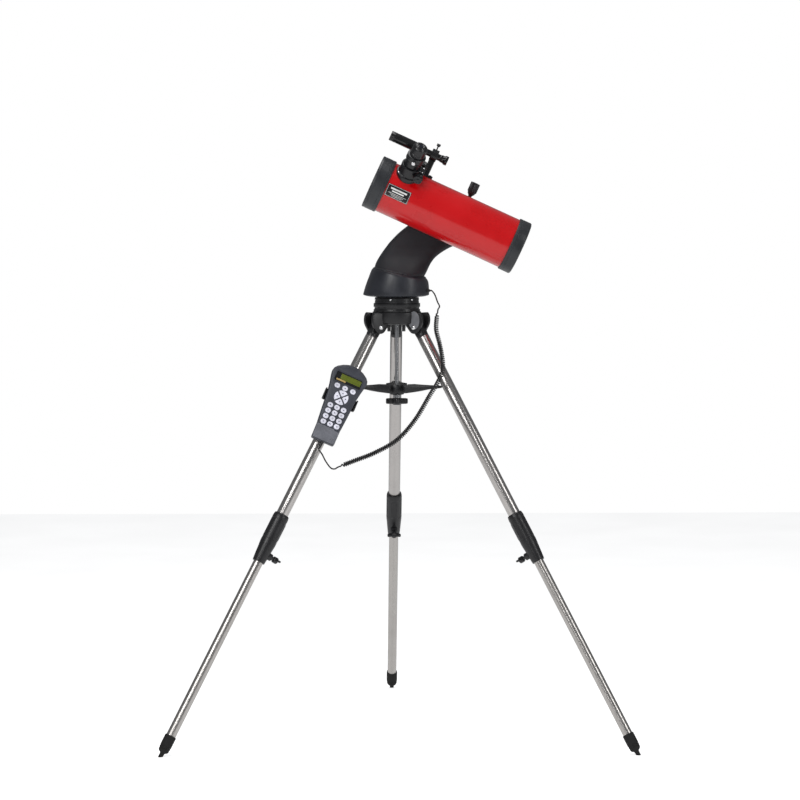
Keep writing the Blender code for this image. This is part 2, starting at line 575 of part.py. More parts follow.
def make_finder(pivot):
    height = FINDER_HEIGHT
    place = Matrix.Translation((height, 0.0100, FINDER_AT))
    tube = [(0, -0.0680), (0.0120, -0.0680), (0.0125, -0.0560), (0.0085, -0.0520), (0.0085, 0.0200)]
    tube += [(0.0130, 0.0260), (0.0130, 0.0950), (0.0112, 0.0950), (0.0112, 0.0850), (0, 0.0850)]
    add_object("finder", turned(tube, 28), "black_plastic", pivot, place)

    ring = turned([(0.0088, -0.0090), (0.0160, -0.0090), (0.0160, 0.0090), (0.0088, 0.0090)], 28)
    ring_place = place @ Matrix.Translation((0, 0, FINDER_RING_AT))
    bracket = add_object("finder_bracket", ring, "black_casting", pivot, ring_place)
    stalk = prism(rounded_box(0.0120, 0.0160, 0.003, 2), -height, -0.0130, axis="X")
    boolean(bracket, cutter("finder_stalk", stalk, pivot, ring_place), "UNION")
    shoe = prism(rounded_box(0.0260, 0.0360, 0.003, 2), -height + 0.050, -height + 0.0760, axis="X")
    boolean(bracket, cutter("finder_shoe", shoe, pivot, ring_place), "UNION")
    seat = turned([(0, -0.2), (TUBE_R + GAP, -0.2), (TUBE_R + GAP, 0.3), (0, 0.3)], 56)
    boolean(bracket, cutter("finder_seat", seat, pivot))
    upward = ring_place @ turned_to((1, 0, 0), Vector((0.0163, 0, 0)))
    hole = turned([(0, -0.012), (0.0022, -0.012), (0.0022, 0.006), (0, 0.006)], 12)
    boolean(bracket, cutter("finder_screw_hole", hole, pivot, upward))
    screw = [(0, -0.0072), (0.0019, -0.0072), (0.0019, 0.0090), (0.0042, 0.0100), (0.0042, 0.0160), (0, 0.0160)]
    add_object("finder_screw", turned(screw, 16), "chrome", pivot, upward)


# Handset


def handset_matrix():
    """+X to the user's right across the handset, +Y up it, +Z out of its face, from the leg's axis."""
    normal = Vector((math.sin(HANDSET_TURN), math.cos(HANDSET_TURN), 0))
    upward = Vector((0, 0, 1))
    right = upward.cross(normal)
    turn = Matrix((right, upward, normal)).transposed().to_4x4()
    tilt = Matrix.Rotation(HANDSET_TILT, 4, "Z")
    return Matrix.Translation((0, 0, -HANDSET_AT)) @ turn @ tilt


def handset_outline(shrink=0.0):
    points = [(0.0270, 0.1010), (0.0420, 0.0930), (0.0485, 0.0820), (0.0475, 0.0700), (0.0390, 0.0250)]
    points += [(0.0360, -0.0200), (0.0320, -0.0600), (0.0315, -0.1040), (0.0290, -0.1070)]
    right = [(x - shrink, y - math.copysign(shrink, y)) for x, y in points]
    left = [(-x, y) for x, y in reversed(right)]
    return [(0, 0.1080 - shrink)] + right + left


def key_places():
    """Centres and half sizes of the keys on the handset's face."""
    keys = [(x, 0.0330, 0.0065, 0.0055) for x in (-0.0220, 0.0, 0.0220)]
    keys += [(0, 0.0165, 0.0085, 0.0048), (0, -0.0065, 0.0085, 0.0048)]
    keys += [(-0.0125, 0.0050, 0.0048, 0.0062), (0.0125, 0.0050, 0.0048, 0.0062)]
    for row in range(4):
        keys += [(x, -0.0225 - 0.0165 * row, 0.0062, 0.0050) for x in (-0.0190, 0.0, 0.0190)]
    return keys


def make_handset(pivot):
    place = handset_matrix()
    front = HANDSET_BACK + HANDSET_DEPTH
    levels = ((HANDSET_BACK, 0.0035), (HANDSET_BACK + 0.004, 0.0), (front - 0.005, 0.0), (front, 0.0035))
    rings = [[(x, y, z) for x, y in handset_outline(shrink)] for z, shrink in levels]
    shell = add_object("handset_shell", lofted(rings), "handset_plastic", pivot, place)
    window = prism(rounded_box(0.0690, 0.0220, 0.002, 2), front - 0.0035, front + 0.01)
    boolean(shell, cutter("screen_recess", window, pivot, place @ Matrix.Translation((0, 0.0600, 0))))
    well = prism(rounded_box(0.0620, 0.1250, 0.004, 2), front - 0.0035, front + 0.01)
    boolean(shell, cutter("key_recess", well, pivot, place @ Matrix.Translation((0, -0.0205, 0))))
    socket = turned([(0, -0.02), (0.0056, -0.02), (0.0056, 0.012), (0, 0.012)], 16)
    down = place @ turned_to((0, 1, 0), Vector((0, -0.1070, HANDSET_BACK + 0.0130)))
    boolean(shell, cutter("cord_socket", socket, pivot, down))

    pane = prism(rounded_box(0.0684, 0.0214, 0.002, 2), front - 0.0032, front - 0.0010)
    add_object("handset_screen", pane, "screen_glass", pivot, place @ Matrix.Translation((0, 0.0600, 0)))

    mat_shape = prism(rounded_box(0.0610, 0.1240, 0.004, 2), front - 0.0022, front - 0.0008)
    keypad = add_object("keypad", mat_shape, "key_rubber", pivot, place @ Matrix.Translation((0, -0.0205, 0)))
    for index, (x, y, half_x, half_y) in enumerate(key_places()):
        key = prism(rounded_box(2 * half_x, 2 * half_y, 0.003, 1), front - 0.0015, front + 0.0014)
        tool = cutter(f"key_{index:02d}", key, pivot, place @ Matrix.Translation((x, y, 0)))
        boolean(keypad, tool, "UNION")

    grip = prism(rounded_box(0.0470, 0.0340, 0.004, 2), -0.0210, HANDSET_BACK - GAP)
    holder = add_object("handset_holder", grip, "black_plastic", pivot, place @ Matrix.Translation((0, 0.0150, 0)))
    plate = prism(rounded_box(0.0900, 0.0300, 0.003, 2), 0.0170, HANDSET_BACK - GAP)
    boolean(holder, cutter("holder_plate", plate, pivot, place @ Matrix.Translation((0, 0.0150, 0))), "UNION")
    leg = turned([(0, -0.7), (UPPER_TUBE_R + GAP, -0.7), (UPPER_TUBE_R + GAP, 0.1), (0, 0.1)], 28)
    boolean(holder, cutter("holder_bore", leg, pivot))
    # The tray's arm passes close to the inner side of the leg as they fold, so the clip is open there.
    gap = prism([(-0.05, -0.0130), (0.0, -0.0130), (0.0, 0.0130), (-0.05, 0.0130)], -0.30, -0.15)
    boolean(holder, cutter("holder_gap", gap, pivot))


# Cord


# Each joint of the cord is a point and the direction in which the cord passes it.
DRUM_EXIT = ((0.0869, -0.0316, 1.1740), (0.9397, -0.3420, 0.0))
LEAD_TO_CURL = ((0.1050, -0.0750, 1.1225), (-0.19, -0.32, -0.93))
CURL_SPLIT = ((0.1160, -0.1130, 0.9660), (-0.20, -0.27, -0.94))
CURL_TO_LEAD = ((-0.1540, -0.1700, 0.7240), (-0.90, -0.03, -0.43))
HANDSET_EXIT = ((-0.2044, -0.1577, 0.7712), (-0.3877, -0.2551, -0.8858))

LEAD_TOP_ROUTE = ((0.0985, -0.0400, 1.1640), (0.1050, -0.0550, 1.1460), (0.1100, -0.0670, 1.1340))
CURL_TOP_ROUTE = (
    (0.1005, -0.0890, 1.0780), (0.1080, -0.0970, 1.0440), (0.1140, -0.1010, 1.0150), (0.1175, -0.1060, 0.9900),
)
CURL_LOW_ROUTE = (
    (0.1020, -0.1250, 0.9360), (0.0832, -0.1350, 0.9073), (0.0438, -0.1500, 0.8435),
    (-0.0031, -0.1600, 0.7924), (-0.0602, -0.1660, 0.7600), (-0.1121, -0.1690, 0.7400),
)
LEAD_LOW_ROUTE = ((-0.1640, -0.1700, 0.7185), (-0.1750, -0.1690, 0.7210), (-0.1880, -0.1660, 0.7380),
                  (-0.1975, -0.1620, 0.7560))


def smooth_route(route, spacing):
    """Evenly spaced points on a Catmull-Rom curve through the route."""
    ends = [route[0] * 2 - route[1]] + route + [route[-1] * 2 - route[-2]]
    fine = []
    for a, b, c, d in zip(ends, ends[1:], ends[2:], ends[3:]):
        for i in range(24):
            t = i / 24
            bend = (2 * a - 5 * b + 4 * c - d) * t**2 + (3 * b - a - 3 * c + d) * t**3
            fine.append(0.5 * (2 * b + (c - a) * t + bend))
    fine.append(route[-1])
    length = sum((q - p).length for p, q in zip(fine, fine[1:]))
    count = max(2, round(length / spacing))
    wanted = [length * i / count for i in range(1, count)]
    made = [fine[0]]
    walked = 0.0
    for p, q in zip(fine, fine[1:]):
        step = (q - p).length
        while wanted and wanted[0] <= walked + step:
            made.append(p.lerp(q, (wanted.pop(0) - walked) / step))
        walked += step
    return made + [fine[-1]]


def make_cord(name, start, route, end, radius, sides):
    """A tube that leaves one joint and reaches the next square on, short of both by half the gap."""
    first, last = at(*start[0]), at(*end[0])
    out, into = Vector(start[1]).normalized(), Vector(end[1]).normalized()
    straight = 0.6 * radius + 0.002
    inner = [first + out * straight] + [at(*p) for p in route] + [last - into * straight]
    points = [first + out * GAP / 2] + smooth_route(inner, 4.5 * radius) + [last - into * GAP / 2]
    curve = bpy.data.curves.new(name, "CURVE")
    curve.dimensions = "3D"
    curve.bevel_depth = radius
    curve.bevel_resolution = sides
    curve.use_fill_caps = True
    spline = curve.splines.new("POLY")
    spline.points.add(len(points) - 1)
    for target, p in zip(spline.points, points):
        target.co = (*p, 1.0)
    made = bpy.data.objects.new(name, curve)
    made.data.materials.append(material("cord_plastic"))
    bpy.context.scene.collection.objects.link(made)


def make_plug(name, tip, direction, nose):
    """A plug with a tapered nose. The lead leaves its tip in the direction given."""
    body = [(0, -GAP / 2), (0.0030, -GAP / 2), (0.0048, -nose), (0.0050, -nose)]
    body += [(0.0050, -nose - 0.0100), (0, -nose - 0.0100)]
    add_object(name, turned(body, 16), "black_plastic", None, turned_to(direction, at(*tip)))


def make_cords():
    make_cord("lead_top", DRUM_EXIT, LEAD_TOP_ROUTE, LEAD_TO_CURL, LEAD_R, 2)
    make_cord("curl_top", LEAD_TO_CURL, CURL_TOP_ROUTE, CURL_SPLIT, CURL_R, 3)
    make_cord("curl_low", CURL_SPLIT, CURL_LOW_ROUTE, CURL_TO_LEAD, CURL_R, 3)
    upward = tuple(-c for c in HANDSET_EXIT[1])
    make_cord("lead_low", CURL_TO_LEAD, LEAD_LOW_ROUTE, (HANDSET_EXIT[0], upward), LEAD_R, 2)
    make_plug("drum_plug", *DRUM_EXIT, 0.0060)
    make_plug("handset_plug", *HANDSET_EXIT, 0.0180)


def main():
    clear_scene()
    make_hub()
    pivots = {name: make_leg(name) for name in LEG_ANGLES}
    make_tray()
    make_neck()
    make_drum()
    make_arm()
    altitude = alt_pivot()
    make_cradle(altitude)
    make_tube(altitude)
    make_focuser(altitude)
    make_finder(altitude)
    make_handset(pivots["left"])
    make_cords()


main()
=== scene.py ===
"""Short reflecting telescope on a one-arm motor head and a folding steel tripod, with its corded handset."""

import json
import math

import bpy
from mathutils import Matrix, Vector


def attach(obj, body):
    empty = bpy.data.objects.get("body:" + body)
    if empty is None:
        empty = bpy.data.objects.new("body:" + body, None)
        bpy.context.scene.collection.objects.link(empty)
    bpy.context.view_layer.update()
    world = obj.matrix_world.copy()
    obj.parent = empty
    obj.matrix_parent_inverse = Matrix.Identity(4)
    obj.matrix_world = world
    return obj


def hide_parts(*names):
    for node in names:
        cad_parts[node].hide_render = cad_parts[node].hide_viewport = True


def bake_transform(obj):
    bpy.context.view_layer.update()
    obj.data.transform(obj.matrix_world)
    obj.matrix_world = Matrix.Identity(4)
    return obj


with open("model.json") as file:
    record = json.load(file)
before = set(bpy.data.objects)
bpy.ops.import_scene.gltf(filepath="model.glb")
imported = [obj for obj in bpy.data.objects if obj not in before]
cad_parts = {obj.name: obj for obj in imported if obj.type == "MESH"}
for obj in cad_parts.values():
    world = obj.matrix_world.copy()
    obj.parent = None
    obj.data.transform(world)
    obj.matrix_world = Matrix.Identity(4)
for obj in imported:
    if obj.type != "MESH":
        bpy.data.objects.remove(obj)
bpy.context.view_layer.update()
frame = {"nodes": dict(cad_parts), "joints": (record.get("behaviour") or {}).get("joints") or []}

# ------------------------------------------------------------------ places taken from the frame

JOINTS = {joint["name"]: joint for joint in frame["joints"]}


def joint_axis(name):
    return Vector(JOINTS[name]["axis"]).normalized()


def joint_place(name):
    return Vector(JOINTS[name]["pos_m"])


def axes_at(origin, x_axis, y_axis, z_axis):
    """The matrix that carries a piece modelled round its own axes to its place."""
    turn = Matrix((x_axis, y_axis, z_axis)).transposed().to_4x4()
    return Matrix.Translation(origin) @ turn


def spun(degrees, axis="Z"):
    return Matrix.Rotation(math.radians(degrees), 4, axis)


def moved(x, y, z):
    return Matrix.Translation((x, y, z))


def pointing(direction, origin=(0, 0, 0)):
    """Carries +Z to a direction."""
    turn = Vector((0, 0, 1)).rotation_difference(Vector(direction)).to_matrix().to_4x4()
    return Matrix.Translation(origin) @ turn


AZIMUTH_Y = joint_place("azimuth_turn").y
HEAD = moved(0, AZIMUTH_Y, 0)

TUBE_AXIS = joint_axis("balance_slide")
TUBE_SIDE = Vector((0, 1, 0))
TUBE_SKY = TUBE_SIDE.cross(TUBE_AXIS)
TUBE = axes_at(joint_place("altitude_tilt"), TUBE_SKY, TUBE_SIDE, TUBE_AXIS)

FOCUS_AT = 0.175
FOCUS_TURN = 36
FOCUS = TUBE @ moved(0, 0, FOCUS_AT) @ spun(-FOCUS_TURN) @ spun(90, "Y")

LEGS = {}
for side in ("left", "right", "back"):
    fold = joint_axis(f"leg_{side}_fold")
    upward = joint_axis(f"leg_{side}_slide")
    LEGS[side] = axes_at(joint_place(f"leg_{side}_fold"), fold.cross(upward), fold, upward)

HANDSET_AT = 0.237
HANDSET_TILT = 3.5
FACE = -joint_axis("keypad_press")
LEG_UP = joint_axis("leg_left_slide")
HANDSET_ORIGIN = joint_place("leg_left_fold") - LEG_UP * HANDSET_AT
HANDSET = axes_at(HANDSET_ORIGIN, LEG_UP.cross(FACE), LEG_UP, FACE) @ spun(HANDSET_TILT)

# Sizes that the pieces share with the frame, in metres
LEG_LENGTH = joint_place("leg_left_fold").z / LEG_UP.z
UPPER_R = 0.0159
LOWER_R = 0.0127
TUBE_R = 0.0675
TUBE_WALL = 0.0012
TUBE_FRONT = 0.250
TUBE_REAR = -0.174
RING_R = 0.0712
FRONT_RING = 0.037
REAR_CELL = 0.033
NECK_R = 0.0613
TRAY_TOP = 0.926
FINDER_HEIGHT = 0.127
FINDER_AT = 0.162
FINDER_RING_AT = -0.030
HANDSET_BACK = 0.0215
HANDSET_FRONT = 0.0475

# ------------------------------------------------------------------ camera

CAMERA_AT = (-0.1787, -8.6742, 1.541)
CAMERA_DOWN = math.radians(4.42)
CAMERA_TURN = math.radians(1.26)
CAMERA_LENS = 145.35


def make_camera():
    data = bpy.data.cameras.new("camera")
    data.lens = CAMERA_LENS
    data.sensor_width = 36
    data.clip_end = 200
    camera = bpy.data.objects.new("camera", data)
    bpy.context.scene.collection.objects.link(camera)
    camera.location = CAMERA_AT
    camera.rotation_euler = (math.pi / 2 - CAMERA_DOWN, 0, -CAMERA_TURN)
    bpy.context.scene.camera = camera


make_camera()

# ------------------------------------------------------------------ node helpers for the materials


class Nodes:
    """A short way to add and join shader nodes in one tree."""

    def __init__(self, tree):
        self.tree = tree

    def add(self, kind, inputs=None, **settings):
        node = self.tree.nodes.new(kind)
        for name, value in settings.items():
            setattr(node, name, value)
        for name, value in (inputs or {}).items():
            if isinstance(value, bpy.types.NodeSocket):
                self.tree.links.new(value, node.inputs[name])
            else:
                node.inputs[name].default_value = value
        return node

    def join(self, start, end):
        self.tree.links.new(start, end)

    def spread(self, value, before, after=(0, 1)):
        """Carries a value from one span to another, and holds it at both ends."""
        spans = {"Value": value, "From Min": before[0], "From Max": before[1], "To Min": after[0], "To Max": after[1]}
        return self.add("ShaderNodeMapRange", spans).outputs["Result"]

    def ramp(self, value, stops):
        node = self.add("ShaderNodeValToRGB", {"Fac": value})
        ramp = node.color_ramp
        while len(ramp.elements) < len(stops):
            ramp.elements.new(0.5)
        for element, (position, color) in zip(ramp.elements, stops):
            element.position = position
            element.color = (*color, 1) if len(color) == 3 else color
        return node.outputs["Color"]

    def mix(self, share, a, b):
        node = self.add("ShaderNodeMix", data_type="RGBA")
        for socket, value in ((node.inputs[0], share), (node.inputs[6], a), (node.inputs[7], b)):
            if isinstance(value, bpy.types.NodeSocket):
                self.join(value, socket)
            else:
                socket.default_value = value
        return node.outputs[2]


def new_group(name, inputs, outputs):
    tree = bpy.data.node_groups.new(name, "ShaderNodeTree")
    for label, value in inputs.items():
        kind = "NodeSocketColor" if isinstance(value, tuple) else "NodeSocketFloat"
        socket = tree.interface.new_socket(label, in_out="INPUT", socket_type=kind)
        socket.default_value = value
    for label, kind in outputs.items():
        tree.interface.new_socket(label, in_out="OUTPUT", socket_type=kind)
    nodes = Nodes(tree)
    return nodes, nodes.add("NodeGroupInput"), nodes.add("NodeGroupOutput")


def make_moulded_grain():
    """Spark-eroded grain of moulded plastic, its roughness and tone changing softly at random."""
    nodes, inward, outward = new_group(
        "moulded_grain",
        {"Color": (0.03, 0.03, 0.03, 1), "Roughness": 0.45, "Grain": 1800.0, "Depth": 0.15},
        {"Color": "NodeSocketColor", "Roughness": "NodeSocketFloat", "Normal": "NodeSocketVector"},
    )
    place = nodes.add("ShaderNodeTexCoord").outputs["Object"]
    fine = nodes.add("ShaderNodeTexNoise", {"Vector": place, "Scale": inward.outputs["Grain"], "Detail": 3})
    broad = nodes.add("ShaderNodeTexNoise", {"Vector": place, "Scale": 35, "Detail": 4, "Roughness": 0.6})
    shade = nodes.ramp(broad.outputs["Fac"], ((0.35, (0.82, 0.82, 0.82)), (0.68, (1.18, 1.18, 1.18))))
    color = nodes.add("ShaderNodeMix", data_type="RGBA", blend_type="MULTIPLY")
    color.inputs[0].default_value = 1
    nodes.join(inward.outputs["Color"], color.inputs[6])
    nodes.join(shade, color.inputs[7])
    uneven = nodes.spread(broad.outputs["Fac"], (0.3, 0.7), (-0.05, 0.07))
    rough = nodes.add("ShaderNodeMath", operation="ADD")
    nodes.join(inward.outputs["Roughness"], rough.inputs[0])
    nodes.join(uneven, rough.inputs[1])
    bump = nodes.add("ShaderNodeBump", {"Height": fine.outputs["Fac"], "Distance": 0.0002})
    nodes.join(inward.outputs["Depth"], bump.inputs["Strength"])
    nodes.join(color.outputs[2], outward.inputs["Color"])
    nodes.join(rough.outputs[0], outward.inputs["Roughness"])
    nodes.join(bump.outputs["Normal"], outward.inputs["Normal"])
    return nodes.tree


def make_edge_wear():
    """A mask of the sharp edges, broken up so that they look handled and not drawn."""
    nodes, inward, outward = new_group(
        "edge_wear", {"Amount": 1.0, "Reach": 0.0012}, {"Mask": "NodeSocketFloat"}
    )
    bevel = nodes.add("ShaderNodeBevel", samples=4)
    nodes.join(inward.outputs["Reach"], bevel.inputs["Radius"])
    geometry = nodes.add("ShaderNodeNewGeometry")
    turn = nodes.add("ShaderNodeVectorMath", operation="DOT_PRODUCT")
    nodes.join(bevel.outputs["Normal"], turn.inputs[0])
    nodes.join(geometry.outputs["Normal"], turn.inputs[1])
    edge = nodes.spread(turn.outputs["Value"], (0.98, 0.80))
    place = nodes.add("ShaderNodeTexCoord").outputs["Object"]
    breaks = nodes.add("ShaderNodeTexNoise", {"Vector": place, "Scale": 420, "Detail": 4})
    keep = nodes.spread(breaks.outputs["Fac"], (0.45, 0.62))
    both = nodes.add("ShaderNodeMath", operation="MULTIPLY")
    nodes.join(edge, both.inputs[0])
    nodes.join(keep, both.inputs[1])
    scaled = nodes.add("ShaderNodeMath", operation="MULTIPLY", use_clamp=True)
    nodes.join(both.outputs[0], scaled.inputs[0])
    nodes.join(inward.outputs["Amount"], scaled.inputs[1])
    nodes.join(scaled.outputs[0], outward.inputs["Mask"])
    return nodes.tree


def make_drawn_lines():
    """Fine lines along a drawn or polished tube, read from the piece's own wrap map."""
    nodes, inward, outward = new_group(
        "drawn_lines",
        {"Across": 900.0, "Along": 9.0, "Low": 0.12, "High": 0.24},
        {"Roughness": "NodeSocketFloat", "Height": "NodeSocketFloat", "Smudge": "NodeSocketFloat"},
    )
    wrap = nodes.add("ShaderNodeUVMap", uv_map="wrap").outputs["UV"]
    stretch = nodes.add("ShaderNodeCombineXYZ")
    nodes.join(inward.outputs["Across"], stretch.inputs["X"])
    nodes.join(inward.outputs["Along"], stretch.inputs["Y"])
    lines_at = nodes.add("ShaderNodeVectorMath", operation="MULTIPLY")
    nodes.join(wrap, lines_at.inputs[0])
    nodes.join(stretch.outputs[0], lines_at.inputs[1])
    lines = nodes.add("ShaderNodeTexNoise", {"Vector": lines_at.outputs[0], "Scale": 1, "Detail": 3})
    place = nodes.add("ShaderNodeTexCoord").outputs["Object"]
    smudge = nodes.add("ShaderNodeTexNoise", {"Vector": place, "Scale": 16, "Detail": 4, "Roughness": 0.5})
    smudged = nodes.spread(smudge.outputs["Fac"], (0.45, 0.80), (0, 0.6))
    both = nodes.add("ShaderNodeMath", operation="ADD", use_clamp=True)
    nodes.join(lines.outputs["Fac"], both.inputs[0])
    nodes.join(smudged, both.inputs[1])
    rough = nodes.spread(both.outputs[0], (0.3, 1.0), (inward.outputs["Low"], inward.outputs["High"]))
    nodes.join(rough, outward.inputs["Roughness"])
    nodes.join(lines.outputs["Fac"], outward.inputs["Height"])
    nodes.join(smudged, outward.inputs["Smudge"])
    return nodes.tree


GRAIN = make_moulded_grain()
WEAR = make_edge_wear()
LINES = make_drawn_lines()


def new_material(name):
    made = bpy.data.materials.new(name)
    made.use_nodes = True
    nodes = Nodes(made.node_tree)
    return made, nodes, made.node_tree.nodes["Principled BSDF"]


def group_node(nodes, tree, values):
    node = nodes.add("ShaderNodeGroup", node_tree=tree)
    for name, value in values.items():
        node.inputs[name].default_value = value
    return node


def moulded(name, color, roughness, grain=1800.0, depth=0.15, wear=0.4, worn=(0.10, 0.10, 0.11), specular=0.5):
    """Grained plastic or painted casting, with its edges rubbed lighter."""
    made, nodes, shader = new_material(name)
    surface = group_node(
        nodes, GRAIN, {"Color": (*color, 1), "Roughness": roughness, "Grain": grain, "Depth": depth}
    )
    rubbed = group_node(nodes, WEAR, {"Amount": wear})
    blended = nodes.mix(rubbed.outputs["Mask"], surface.outputs["Color"], (*worn, 1))
    nodes.join(blended, shader.inputs["Base Color"])
    nodes.join(surface.outputs["Roughness"], shader.inputs["Roughness"])
    nodes.join(surface.outputs["Normal"], shader.inputs["Normal"])
    shader.inputs["Specular IOR Level"].default_value = specular
    return made


def drawn_metal(name, color, low, high, across=900.0):
    """Polished metal tube with faint lengthwise lines and finger smudges."""
    made, nodes, shader = new_material(name)
    lines = group_node(nodes, LINES, {"Low": low, "High": high, "Across": across})
    darker = tuple(0.86 * c for c in color)
    tinted = nodes.mix(lines.outputs["Smudge"], (*color, 1), (*darker, 1))
    bump = nodes.add("ShaderNodeBump", {"Height": lines.outputs["Height"], "Distance": 0.00001, "Strength": 0.015})
    nodes.join(tinted, shader.inputs["Base Color"])
    nodes.join(lines.outputs["Roughness"], shader.inputs["Roughness"])
    nodes.join(bump.outputs["Normal"], shader.inputs["Normal"])
    shader.inputs["Metallic"].default_value = 1
    return made


def plated_metal(name, color, roughness):
    """Bright plating with tiny pits and uneven polish."""
    made, nodes, shader = new_material(name)
    place = nodes.add("ShaderNodeTexCoord").outputs["Object"]
    polish = nodes.add("ShaderNodeTexNoise", {"Vector": place, "Scale": 260, "Detail": 4})
    rough = nodes.spread(polish.outputs["Fac"], (0.3, 0.7), (roughness * 0.6, roughness * 1.6))
    tint = nodes.ramp(polish.outputs["Fac"], ((0.3, tuple(0.88 * c for c in color)), (0.7, color)))
    nodes.join(tint, shader.inputs["Base Color"])
    nodes.join(rough, shader.inputs["Roughness"])
    shader.inputs["Metallic"].default_value = 1
    return made


def red_enamel():
    """Thick red enamel under a clear coat, on rolled sheet, with an orange-peel ripple and faint dust."""
    made, nodes, shader = new_material("red_enamel")
    place = nodes.add("ShaderNodeTexCoord").outputs["Object"]
    peel = nodes.add("ShaderNodeTexNoise", {"Vector": place, "Scale": 330, "Detail": 2})
    cloud = nodes.add("ShaderNodeTexNoise", {"Vector": place, "Scale": 14, "Detail": 5})
    dust = nodes.add("ShaderNodeTexNoise", {"Vector": place, "Scale": 900, "Detail": 2})
    color = nodes.ramp(cloud.outputs["Fac"], ((0.3, (0.56, 0.0008, 0.003)), (0.7, (0.63, 0.0015, 0.0045))))
    specks = nodes.spread(dust.outputs["Fac"], (0.70, 0.80), (0, 0.06))
    dusty = nodes.mix(specks, color, (0.60, 0.32, 0.30, 1))
    rough = nodes.spread(cloud.outputs["Fac"], (0.3, 0.7), (0.24, 0.34))
    bump = nodes.add("ShaderNodeBump", {"Height": peel.outputs["Fac"], "Distance": 0.00005, "Strength": 0.05})
    nodes.join(dusty, shader.inputs["Base Color"])
    nodes.join(rough, shader.inputs["Roughness"])
    nodes.join(bump.outputs["Normal"], shader.inputs["Normal"])
    shader.inputs["Specular IOR Level"].default_value = 0.25
    shader.inputs["Coat Weight"].default_value = 0.7
    shader.inputs["Coat Roughness"].default_value = 0.07
    return made


def mirror_coating():
    """Aluminised glass with a breath of haze towards one side."""
    made, nodes, shader = new_material("mirror_coating")
    place = nodes.add("ShaderNodeTexCoord").outputs["Object"]
    haze = nodes.add("ShaderNodeTexNoise", {"Vector": place, "Scale": 18, "Detail": 3})
    rough = nodes.spread(haze.outputs["Fac"], (0.4, 0.7), (0.01, 0.05))
    tint = nodes.ramp(haze.outputs["Fac"], ((0.3, (0.93, 0.94, 0.95)), (0.7, (0.86, 0.88, 0.90))))
    nodes.join(tint, shader.inputs["Base Color"])
    nodes.join(rough, shader.inputs["Roughness"])
    shader.inputs["Metallic"].default_value = 1
    return made


def liquid_crystal():
    """Olive display glass over faint character cells."""
    made, nodes, shader = new_material("liquid_crystal")
    cells_at = nodes.add("ShaderNodeUVMap", uv_map="face").outputs["UV"]
    cells = nodes.add(
        "ShaderNodeTexBrick",
        {"Vector": cells_at, "Scale": 1, "Color1": (0.125, 0.158, 0.012, 1), "Color2": (0.108, 0.138, 0.010, 1),
         "Mortar": (0.150, 0.185, 0.018, 1), "Mortar Size": 0.00035, "Brick Width": 0.0036, "Row Height": 0.0070},
        offset=0.0,
    )
    nodes.join(cells.outputs["Color"], shader.inputs["Base Color"])
    place = nodes.add("ShaderNodeTexCoord").outputs["Object"]
    smear = nodes.add("ShaderNodeTexNoise", {"Vector": place, "Scale": 60, "Detail": 3})
    rough = nodes.spread(smear.outputs["Fac"], (0.3, 0.7), (0.10, 0.24))
    nodes.join(rough, shader.inputs["Roughness"])
    shader.inputs["Coat Weight"].default_value = 0.6
    return made


def studio_floor():
    made, nodes, shader = new_material("studio_floor")
    place = nodes.add("ShaderNodeTexCoord").outputs["Object"]
    paper = nodes.add("ShaderNodeTexNoise", {"Vector": place, "Scale": 3, "Detail": 3})
    color = nodes.ramp(paper.outputs["Fac"], ((0.3, (0.90, 0.90, 0.90)), (0.7, (0.93, 0.93, 0.93))))
    nodes.join(color, shader.inputs["Base Color"])
    nodes.join(color, shader.inputs["Emission Color"])
    seen = nodes.add("ShaderNodeLightPath").outputs["Is Camera Ray"]
    glow = nodes.spread(seen, (0, 1), (0.32, 0.75))
    nodes.join(glow, shader.inputs["Emission Strength"])
    shader.inputs["Roughness"].default_value = 0.75
    return made


